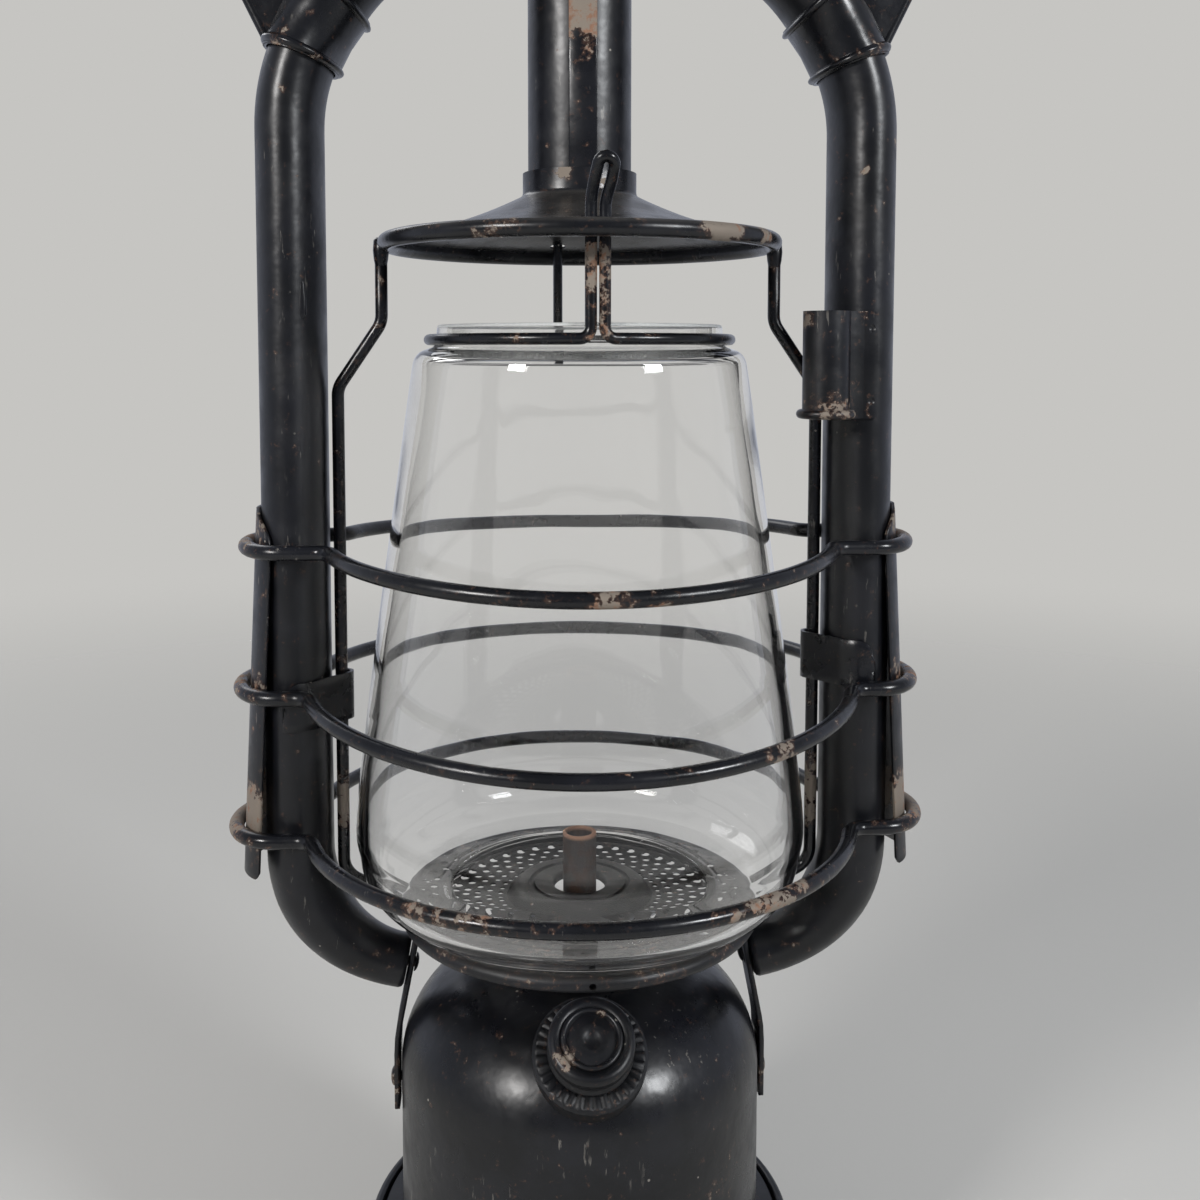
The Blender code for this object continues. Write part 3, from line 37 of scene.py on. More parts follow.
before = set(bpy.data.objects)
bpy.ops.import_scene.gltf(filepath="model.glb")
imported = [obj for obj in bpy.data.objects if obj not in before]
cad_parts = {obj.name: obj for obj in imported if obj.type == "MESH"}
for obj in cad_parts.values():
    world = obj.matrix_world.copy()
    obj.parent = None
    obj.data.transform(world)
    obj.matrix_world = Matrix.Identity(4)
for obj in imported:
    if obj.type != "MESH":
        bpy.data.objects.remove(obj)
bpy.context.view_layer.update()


# Sizes in metres
FIT = 0.0003
SLIDE_FIT = 0.0006
SHEET = 0.0008
ROUND = 96
OVAL = 40
CUT_OVERRUN = 0.002
THREAD_PITCH = 0.0015
SIDES = ((-1, "left"), (1, "right"))
# Carbide pot and its collar, with a shallow groove between two bands
POT_R = 0.0480
POT_FILLET = 0.0060
POT_WALL = 0.0012
POT_COLLAR_R = 0.0520
POT_COLLAR_WALL = 0.0022
POT_COLLAR_FOOT_Z = 0.0300
POT_COLLAR_CONE = 0.0040
POT_TOP_Z = 0.0440
POT_EDGE = 0.0006
POT_LOWER_BAND = 0.0014
POT_UPPER_BAND = 0.0024
POT_GROOVE = 0.0005
POT_GROOVE_SLOPE = 0.0006
GASKET_HEIGHT = 0.0020
BASE_RING_HEIGHT = 0.0076
BASE_THREAD = 0.0005
# Water tank
TANK_R = 0.0439
TANK_SHOULDER_R = 0.0240
TANK_TOP_Z = 0.1090
TANK_CROWN = 0.0010
TANK_SKIRT = 0.0080
FLOOR_Z = 0.0460
FLOOR_FLANGE = 0.0040
# Gas pipe and the valve's height over the tank's floor
PIPE_R = 0.0041
PIPE_WALL = 0.0009
PIPE_TOP_Z = 0.1410
PIPE_FOOT = 0.0030
VALVE_RISE = 0.0085
# Water regulator on the tank's back
ROD_R = 0.0015
GLAND_R = 0.0052
GLAND_LENGTH = 0.0070
GLAND_SPIGOT_R = 0.0036
GLAND_SPIGOT = 0.0030
GLAND_RING = 0.0020
GLAND_GROOVE = 0.0006
NUT_R = 0.0042
NUT_LENGTH = 0.0035
NUT_BEVEL = 0.0005
KNOB_R = 0.0080
KNOB_LENGTH = 0.0070
KNOB_LOBE = 0.0010
KNOB_LOBES = 6
KNOB_EDGE = 0.0008
KNOB_GAP = 0.0010
KNOB_SEAT = 0.0045
# Filler neck and cap
CAP_TILT = radians(50)
NECK_R = 0.0078
NECK_BORE_R = 0.0062
NECK_TOP = 0.0065
NECK_ROOT = 0.0090
FLANGE_R = 0.0128
FLANGE_TOP = 0.0014
NECK_THREAD = 0.0004
NECK_THREAD_FOOT = 0.0008
FLANGE_BEVEL = 0.0005
TOOTH_HEIGHT = 0.0007
TOOTH_IN_R = 0.0088
TOOTH_OUT_R = 0.0121
TOOTH_SLOPE = 0.0004
TOOTH_PROFILE_SHARES = (0.0, 0.45, 0.6, 0.45)
TEETH = 36
CAP_R = 0.0096
CAP_WALL = 0.0010
CAP_SKIRT_FOOT = 0.0026
CAP_EDGE = 0.0016
CAP_BEAD = 0.0004
CAP_RING_R = 0.0062
CAP_RING_HALF = 0.0006
CAP_RING_RISE = 0.0006
CAP_DISH = 0.0005
CAP_DIMPLE_R = 0.0022
CAP_DIMPLE_DEPTH = 0.0008
WASHER_HEIGHT = 0.0012
# Side tubes and collars: ovals, longer in Y, as the arms are
TUBE_X = 0.0678
TUBE_HALF_X = 0.0079
TUBE_HALF_Y = 0.0115
TUBE_WALL = 0.0008
LOW_BEND_R = 0.0300
LOW_BEND_Z = 0.1390
TUBE_END_HALF_X = 0.0062
TUBE_END_HALF_Y = 0.0072
TUBE_END_WALL = 0.0030
TOP_BEND_R = 0.0460
TOP_BEND_Z = 0.3100
TUBE_TOP_ANGLE = radians(33.0)
COLLAR_FROM = radians(20.2)
COLLAR_TO = radians(42.6)
COLLAR_WALL = 0.0009
COLLAR_BEAD = 0.0009
COLLAR_BEAD_SHARES = ((0.015, 0.125, 0.5), (0.875, 0.985, 1.0))
# A run of enamel that dried on the left tube
RUN_TOP_Z = 0.2745
RUN_LENGTH = 0.0085
RUN_HALF = 0.0011
RUN_DEPTH_SHARE = 0.55
RUN_TURN = radians(-62)
RUN_SINK = 0.0002
# Cross arms
ARM_GAP_ANGLE = radians(0.6)
ARM_ARC_END = radians(68.0)
ARM_HALF_X = 0.0055
ARM_HALF_Y = 0.0090
ARM_REACH = 0.0015
# Bail ears and bail
EAR_X = 0.0755
EAR_Z = 0.3500
EAR_R = 0.0062
EAR_HALF = 0.0011
EAR_RIM_R = 0.0013
EAR_ROOT = 0.0012
BOSS_R = 0.0034
BOSS_IN = 0.0045
BOSS_OUT = 0.0046
BAIL_R = 0.0017
BAIL_GAP = 0.0026
BAIL_HOLE_IN = 0.0055
BAIL_HOLE_OUT = 0.0082
BAIL_HOOK = 0.0030
BAIL_CORNER_R = 0.0030
BAIL_LEG_Z = 0.3790
BAIL_TOP_Z = 0.4428
# Hood and its cover
SLEEVE_R = 0.0134
SLEEVE_TOP_Z = 0.3860
HOOD_R = 0.0262
HOOD_FOOT_Z = 0.3510
HOOD_SLOPE = 0.0015
HOOD_WALL_TOP_Z = 0.3740
COVER_FOOT_Z = 0.3720
COVER_WALL = 0.0130
COVER_RISE = 0.0120
COVER_BEAD = 0.0010
VENT_R = 0.0030
VENTS = 8
# Straps from the tank to the tubes, and their rivets
STRAP_THICK = 0.0013
STRAP_HALF = 0.0050
STRAP_FOOT_Z = 0.0740
STRAP_BEND_Z = 0.0920
STRAP_TILT = radians(11.3)
STRAP_BEND = 0.004
STRAP_BEND_IN = 0.0002
STRAP_CORNER_SHARE = 0.05
RIVET_R = 0.0012
RIVET_HEAD_R = 0.0023
RIVET_HEAD = 0.0009
RIVET_FOOT_Z = 0.0800
# Guard rings and the strips that hold them
GUARD_R = 0.0018
GUARD_BEND_R = 0.0050
GUARD_TOP_Z = 0.2130
GUARD_PITCH = 0.0337
GUARD_STANDOFF = 0.0110
GUARD_RING_SHARES = (
    ("top", 0.923, 0.090, 0.090),
    ("middle", 1.0, 0.120, 0.040),
    ("bottom", 1.0, 0.006, 0.006),
)
STRIP_TOP_Z = 0.2220
STRIP_SHOULDER = 0.0080
STRIP_FOOT_Z = 0.1350
STRIP_WRAP = radians(64)
STRIP_LEAN_SHARE = 0.05
# Chimney tube, globe plate and lift wires
CHIMNEY_R = 0.0122
SEAM_RISE = 0.0005
SEAM_HALF = radians(15.0)
CHIMNEY_FOOT_Z = 0.2970
CHIMNEY_TOP_Z = 0.3600
PLATE_NECK_TOP_Z = 0.3005
PLATE_NECK_FOOT_Z = 0.2945
PLATE_NECK_CURL = 0.0008
PLATE_SLOT_TOP_Z = 0.2968
PLATE_SHEET = 0.00048
PLATE_DISH_POWER = 1.6
PLATE_RIM_R = 0.0457
PLATE_RIM_Z = 0.2840
PLATE_ROLL_R = 0.0020
LIFT_R = 0.0015
LIFT_TOP_X = 0.0470
LIFT_X = 0.0575
LIFT_KINK_TOP_Z = 0.2655
LIFT_KINK_FOOT_Z = 0.2500
LIFT_TOE = radians(30)
LIFT_BEND_R = 0.0060
LUG_HALF_X = 0.0019
LUG_HALF_Y = 0.0021
# Each row of the braze lug: its height over the rim's middle, and its share of the width
LUG_ROWS = ((-0.0052, 0.74), (-0.0036, 0.90), (-0.0016, 1.0), (0.0008, 0.90), (0.0014, 0.6))
# Gallery
GALLERY_Z = 0.1250
GALLERY_SHEET = SHEET / 2
GALLERY_RIM_R = 0.0420
GALLERY_ROLL_R = 0.0018
GALLERY_HOLE_R = 0.0066
CUP_R = 0.0178
CUP_RISE = 0.0034
CUP_GROOVE_R = 0.0118
CUP_GROOVE = 0.0009
CUP_LIP = 0.0012
SEAT_R = 0.0335
SEAT_HALF = 0.0009
SEAT_RISE = 0.0006
PERFORATION_IN_R = 0.0196
PERFORATION_OUT_R = 0.0310
PERFORATION_TURN_SHARE = 0.31
PERFORATION_OVERRUN = 0.001
BAND_HOLES = 36
BAND_IN_R = 0.0366
BAND_OUT_R = 0.0389
RIM_HOLE_R = 0.0008
# Globe
GLASS = 0.0025
GLOBE_R = 0.0540
GLOBE_HEIGHT = 0.1390
GROUND_EDGE = 0.0007
GLOBE_OUTLINE_SHARES = (
    (0.578, 0.002), (0.639, 0.000), (0.824, 0.009), (0.898, 0.023),
    (0.959, 0.050), (0.993, 0.101), (1.000, 0.173), (0.915, 0.439),
    (0.791, 0.784), (0.757, 0.878), (0.742, 0.918),
    (0.731, 0.940), (0.706, 0.953), (0.672, 0.959), (0.646, 0.963), (0.634, 0.973), (0.627, 1.000),
)
# Globe retainer
RETAINER_R = 0.0013
RETAINER_RING_R = 0.0358
RETAINER_Z = 0.2614
RETAINER_TWIN_X = 0.0001
RETAINER_TWIN_GAP = 0.0030
RETAINER_BACK_X = -0.0035
RETAINER_CORNER_R = 0.0024
RETAINER_LOOP_FOOT_Z = 0.2890
RETAINER_LOOP_Z = 0.2973
RETAINER_LOOP_HALF = 0.0017
RETAINER_LOOP_SHIFT = 0.0014
RETAINER_LOOP_LEAN = 0.0034
# Below the finger loop: a height, and how far the left and the right wire stand to the right there
RETAINER_BENDS = ((0.2945, 0.0006, 0.0012), (0.2912, 0.0001, 0.0003))
RETAINER_TWIN_FOOT = 0.004
RETAINER_BACK_REACH = 0.0084
RETAINER_BACK_TOP_Z = 0.2930
SLOT_HALF_Y = 0.0026
BACK_HOLE_R = 0.0021
# Guide clips and accessory socket
CLIP_LEFT_Z = 0.1706
CLIP_RIGHT_Z = 0.1788
CLIP_HEIGHT = 0.0113
CLIP_FROM = radians(-78)
CLIP_LEAVE = radians(-140)
CLIP_CORNER = radians(26)
SOCKET_FOOT_Z = 0.2430
SOCKET_HEIGHT = 0.0250
SOCKET_R = 0.0055
SOCKET_X = 0.0568
SOCKET_Y = -0.0126
SOCKET_FLANGE_FROM = radians(-82)
SOCKET_FLANGE_TO = radians(-104)
SOCKET_SEAM = radians(26)
SOCKET_BEAD_R = 0.0011
WELD_R = 0.0013
WELD_PROUD = 0.0009
WELD_TURN = radians(-92)
WELD_SHARES = (0.16, 0.84)
# Stage: the camera, the floor and the lamps, each with its place, width, power and tint
CAMERA_AWAY = 0.310
CAMERA_Z = 0.259
CAMERA_TURN = radians(-3.7)
CAMERA_PITCH = radians(4.17)
LENS_MM = 38.7
SENSOR_MM = 36.0
LENS_SHIFT = (0.017, -0.13)
AIM = (0.0, 0.0, 0.22)
FLOOR_R = 1.6
FLOOR_SINK = 0.0002
FLOOR_FADE_FROM = 0.35
FLOOR_FADE_TO = 1.25
LAMPS = (
    ("key_light", (-0.85, -0.80, 0.70), 0.26, 10.0, (1.0, 0.98, 0.96)),
    ("fill_light", (0.88, -0.80, 0.70), 0.26, 9.5, (0.96, 0.98, 1.0)),
    ("back_light", (-0.60, 0.90, 1.00), 0.50, 1.8, (1.0, 1.0, 1.0)),
)


class LanternSizes(bpy.types.PropertyGroup):
    """Small sizes of the lantern that a user may want to change."""

    edge: FloatProperty(name="Edge rounding", description="Rounding of the sheet metal's edges",
                        unit="LENGTH", min=0.0, default=0.00018)
    hole: FloatProperty(name="Gallery hole", description="Radius of the fine holes in the gallery",
                        unit="LENGTH", min=0.0, default=0.00100)
    band_hole: FloatProperty(name="Band hole", description="Radius of the holes near the gallery's rim",
                             unit="LENGTH", min=0.0, default=0.00120)
    hole_rows: IntProperty(name="Rows of holes", description="Rows of fine holes round the gallery",
                           min=2, default=5)
    holes: IntProperty(name="Holes in a row", description="Fine holes in each row of the gallery",
                       min=1, default=44)


def full_turn(count):
    """Angles at even steps all the way round."""
    return [2 * pi * i / count for i in range(count)]


def loft(rings, closed=False, mesh_data=None):
    """Skin a row of rings with as many points each, and cap the ends or join them."""
    mesh_data = mesh_data or bmesh.new()
    rows = [[mesh_data.verts.new(point) for point in ring] for ring in rings]
    pairs = list(zip(rows, rows[1:]))
    if closed:
        pairs.append((rows[-1], rows[0]))
    else:
        mesh_data.faces.new(rows[0])
        mesh_data.faces.new(rows[-1])
    for near_row, far_row in pairs:
        for i in range(len(near_row)):
            j = (i + 1) % len(near_row)
            mesh_data.faces.new((near_row[i], near_row[j], far_row[j], far_row[i]))
    return mesh_data


def lathe(outline, sides=ROUND):
    """Turn a closed outline of (radius, height) about Z; a radius of zero is on the axis."""
    mesh_data = bmesh.new()
    turns = full_turn(sides)
    rows = []
    for radius, height in outline:
        if radius == 0:
            rows.append([mesh_data.verts.new((0, 0, height))] * sides)
        else:
            rows.append([mesh_data.verts.new((radius * cos(a), radius * sin(a), height)) for a in turns])
    for near_row, far_row in zip(rows, rows[1:] + rows[:1]):
        for i in range(sides):
            j = (i + 1) % sides
            corners = list(dict.fromkeys((near_row[i], near_row[j], far_row[j], far_row[i])))
            if len(corners) > 2:
                mesh_data.faces.new(corners)
    return mesh_data


def arc(centre, radius, start, end, steps):
    """Points on an arc in a plane, both ends included."""
    turns = [start + (end - start) * i / steps for i in range(steps + 1)]
    return [(centre[0] + radius * cos(a), centre[1] + radius * sin(a)) for a in turns]


def offset_line(points, distance):
    """The open line that runs beside points, at distance to their left."""
    moved = []
    for i, (x, y) in enumerate(points):
        before, after = points[max(i - 1, 0)], points[min(i + 1, len(points) - 1)]
        turns = []
        if i > 0:
            turns.append(atan2(y - before[1], x - before[0]))
        if i < len(points) - 1:
            turns.append(atan2(after[1] - y, after[0] - x))
        bend = (turns[-1] - turns[0] + pi) % (2 * pi) - pi
        normal = turns[0] + bend / 2 + pi / 2
        reach = distance / cos(bend / 2)
        moved.append((x + reach * cos(normal), y + reach * sin(normal)))
    return moved


def sheet_outline(points, thickness):
    """A closed outline for sheet that lies to the left of points."""
    return list(points) + offset_line(points, thickness)[::-1]


def smooth_line(points, steps=6):
    """A finer line through points, curved as a bent sheet or wire is."""
    points = [Vector(p) for p in points]
    fine = []
    for i in range(len(points) - 1):
        before, start = points[max(i - 1, 0)], points[i]
        end, after = points[i + 1], points[min(i + 2, len(points) - 1)]
        for k in range(steps):
            t = k / steps
            pull = start * 2 + (end - before) * t + (before * 2 - start * 5 + end * 4 - after) * t ** 2
            fine.append((pull + (start * 3 - before - end * 3 + after) * t ** 3) / 2)
    return fine + [points[-1]]


def rounded(points, radius, steps=8):
    """A 3-D path whose inner corners are arcs of the radius, where the runs allow it."""
    path = [Vector(points[0])]
    for before, corner, after in zip(points, points[1:], points[2:]):
        before, corner, after = Vector(before), Vector(corner), Vector(after)
        back, ahead = (before - corner).normalized(), (after - corner).normalized()
        half = back.angle(ahead) / 2
        reach = min(radius / tan(half), (before - corner).length / 2, (after - corner).length / 2)
        bend = reach * tan(half)
        centre = corner + (back + ahead).normalized() * bend / sin(half)
        first, last = corner + back * reach - centre, corner + ahead * reach - centre
        sweep = first.angle(last)
        for i in range(steps + 1):
            share = i / steps
            spoke = first * sin((1 - share) * sweep) + last * sin(share * sweep)
            path.append(centre + spoke / sin(sweep))
    path.append(Vector(points[-1]))
    return path


def wire_rings(path, radius, sides=14, closed=False):
    """Rings round a path, turned as little as they can be; radius may be one number for each point."""
    count = len(path)
    radii = radius if isinstance(radius, list) else [radius] * count
    tangents = []
    for i, point in enumerate(path):
        before = path[(i - 1) % count] if closed or i > 0 else point
        after = path[(i + 1) % count] if closed or i < count - 1 else point
        tangents.append((after - before).normalized())
    side = tangents[0].orthogonal().normalized()
    sides_of = [side]
    for first, second in zip(tangents, tangents[1:]):
        side = (first.rotation_difference(second) @ side).normalized()
        sides_of.append(side)
    slip = 0.0
    if closed:
        back = tangents[-1].rotation_difference(tangents[0]) @ side
        slip = atan2(tangents[0].dot(back.cross(sides_of[0])), back.dot(sides_of[0]))
    rings = []
    for i, (point, tangent, side) in enumerate(zip(path, tangents, sides_of)):
        side = Matrix.Rotation(slip * i / count, 3, tangent) @ side
        other = tangent.cross(side)
        rings.append([point + radii[i] * (cos(a) * side + sin(a) * other) for a in full_turn(sides)])
    return rings


def blunt_wire(path, radius):
    """An open wire whose ends are slightly bevelled."""
    first, last = path[0].lerp(path[1], 0.02), path[-1].lerp(path[-2], 0.02)
    radii = [radius * 0.7] + [radius] * len(path) + [radius * 0.7]
    return loft(wire_rings([path[0], first, *path[1:-1], last, path[-1]], radii))


def oval_rings(stations, grow=0.0):
    """Oval rings round stations of (x, z, heading, half width in the XZ plane, half width in Y)."""
    rings = []
    for x, z, heading, half_x, half_y in stations:
        across = Vector((sin(heading), 0, -cos(heading)))
        centre = Vector((x, 0, z))
        rings.append([centre + across * (half_x + grow) * cos(a) + Vector((0, (half_y + grow) * sin(a), 0))
                      for a in full_turn(OVAL)])
    return rings


def mirrored(rings, side):
    """Rings of the right-hand piece, or of its mirror image where side is -1."""
    return [[Vector((side * p[0], p[1], p[2])) for p in ring] for ring in rings]


def prism(outline, low, high, mesh_data=None):
    """An outline of (x, y) between two heights."""
    return loft([[(x, y, z) for x, y in outline] for z in (low, high)], mesh_data=mesh_data)


def bar(start, end, radius, sides=32):
    """A plain round bar from one point to another."""
    start, end = Vector(start), Vector(end)
    mesh_data = bmesh.new()
    spin = Vector((0, 0, 1)).rotation_difference(end - start).to_matrix().to_4x4()
    bmesh.ops.create_cone(mesh_data, cap_ends=True, segments=sides, radius1=radius, radius2=radius,
                          depth=(end - start).length, matrix=Matrix.Translation((start + end) / 2) @ spin)
    return mesh_data


def placed(mesh_data, matrix):
    """The mesh, moved by a matrix."""
    bmesh.ops.transform(mesh_data, matrix=matrix, verts=mesh_data.verts)
    return mesh_data


def made(name, mesh_data, sharp=32):
    """An object from a bmesh, with outward faces and smooth shading between sharp edges."""
    bmesh.ops.recalc_face_normals(mesh_data, faces=mesh_data.faces)
    mesh = bpy.data.meshes.new(name)
    mesh_data.to_mesh(mesh)
    mesh_data.free()
    mesh.shade_smooth()
    mesh.set_sharp_from_angle(angle=radians(sharp))
    piece = bpy.data.objects.new(name, mesh)
    bpy.context.scene.collection.objects.link(piece)
    return piece


def settle(piece, sharp=32):
    """Apply a piece's modifiers and shade it again."""
    graph = bpy.context.evaluated_depsgraph_get()
    mesh = bpy.data.meshes.new_from_object(piece.evaluated_get(graph))
    piece.modifiers.clear()
    old, piece.data = piece.data, mesh
    bpy.data.meshes.remove(old)
    mesh.name = piece.name
    mesh.shade_smooth()
    mesh.set_sharp_from_angle(angle=radians(sharp))


def shaped(piece, tools, operation="DIFFERENCE", sharp=32):
    """Cut a piece with bmesh tools, or join them to it, and apply that at once."""
    for i, mesh_data in enumerate(tools):
        tool = made(f"{piece.name}_tool_{i}", mesh_data)
        change = piece.modifiers.new("shape", "BOOLEAN")
        change.operation, change.object, change.solver = operation, tool, "EXACT"
        bpy.context.view_layer.update()
        settle(piece, sharp)
        mesh = tool.data
        bpy.data.objects.remove(tool)
        bpy.data.meshes.remove(mesh)
    if not piece.data.polygons:
        raise RuntimeError(f"{piece.name} lost its faces")


def eased(piece, width=None, angle=32):
    """Round the sharp edges of a piece a little, as rolled and painted sheet has them."""
    change = piece.modifiers.new("edges", "BEVEL")
    change.width = width or bpy.context.scene.lantern_sizes.edge
    change.segments = 2
    change.limit_method = "ANGLE"
    change.angle_limit = radians(angle)
    change.harden_normals = True
    bpy.context.view_layer.update()
    settle(piece, 60)


def worn(piece, material, body, nodes):
    """Give a piece its finish and put it on its body in place of the CAD nodes."""
    piece.data.materials.clear()
    piece.data.materials.append(material)
    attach(piece, body)
    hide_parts(*nodes)


def linear(code):
    """Linear colour of an sRGB hex code."""
    shares = [int(code[i:i + 2], 16) / 255 for i in (1, 3, 5)]
    return tuple(c / 12.92 if c <= 0.04045 else ((c + 0.055) / 1.055) ** 2.4 for c in shares)


class LanternFinish(bpy.types.PropertyGroup):
    """Colours and wear of the lantern's finishes."""

    enamel: FloatVectorProperty(name="Enamel", description="Black stoving enamel on the sheet metal",
                                subtype="COLOR", default=linear("#0a0b0e"))
    enamel_thin: FloatVectorProperty(name="Thin enamel", description="Enamel where the coat is thin",
                                     subtype="COLOR", default=linear("#14151a"))
    steel: FloatVectorProperty(name="Bare steel", description="Steel where the enamel has chipped off",
                               subtype="COLOR", default=linear("#92887d"))
    rust: FloatVectorProperty(name="Rust", description="Dark brown rust in the chips",
                              subtype="COLOR", default=linear("#604536"))
    rust_light: FloatVectorProperty(name="Fresh rust", description="Orange rust at the edges of the chips",
                                    subtype="COLOR", default=linear("#96715a"))
    dust: FloatVectorProperty(name="Dust", description="Pale dust and paint specks",
                              subtype="COLOR", default=linear("#b4aea4"))
    brass: FloatVectorProperty(name="Brass", description="Aged brass of the water valve and its knob",
                               subtype="COLOR", default=linear("#a5854b"))
    wear: FloatProperty(name="Wear", description="How much of the enamel has chipped off",
                        subtype="FACTOR", min=0.0, max=1.0, default=0.5)


# Sizes of the patterns in the finishes, in metres
CLOUD = 0.020
PEEL = 0.0016
LUMP = 0.0045
RUST_PATCH = 0.0028
RUST_FLECK = 0.0012
SPECK_PITCH = 0.0050
SPECK_FIELD = 0.011
SCUFF = 0.0011
DULL_PATCH = 0.009
# Settings of nodes that many finishes share
SMOOTH = {"interpolation_type": "SMOOTHSTEP"}
COLOURS = {"data_type": "RGBA"}


def fill(tree, target, sets):
    """Give a node's sockets their values, or link them to the sockets that feed them."""
    for key, value in sets.items():
        if isinstance(value, bpy.types.NodeSocket):
            tree.links.new(value, target.inputs[key])
        else:
            target.inputs[key].default_value = value


def node(tree, kind, sets, out=0, **settings):
    """Add a node with its settings, values and links, and give one of its outputs."""
    added = tree.nodes.new("ShaderNode" + kind)
    for key, value in settings.items():
        setattr(added, key, value)
    fill(tree, added, sets)
    return added.outputs[out]


def blank(name):
    """A new node material: its tree, its shader and the coordinates of the piece in metres."""
    material = bpy.data.materials.new(name)
    material.use_nodes = True
    tree = material.node_tree
    return material, tree, tree.nodes["Principled BSDF"], node(tree, "TexCoord", {}, "Object")


def colour(values):
    """A colour with its alpha, as colour sockets take it."""
    return (*values[:3], 1.0)


def near(tree, place, spots):
    """How near a surface is to the spots of (centre, reach, amount), on one side or on both."""
    both = node(tree, "VectorMath", {0: place}, operation="ABSOLUTE")
    total = None
    for centre, reach, amount in spots:
        ends = {0: place, 1: centre} if amount < 0 else {0: both, 1: tuple(abs(c) for c in centre)}
        away = node(tree, "VectorMath", ends, "Value", operation="DISTANCE")
        share = node(tree, "MapRange", {0: away, 1: 0.0, 2: reach, 3: abs(amount), 4: 0.0}, **SMOOTH)
        total = share if total is None else node(tree, "Math", {0: total, 1: share}, operation="ADD")
    return total


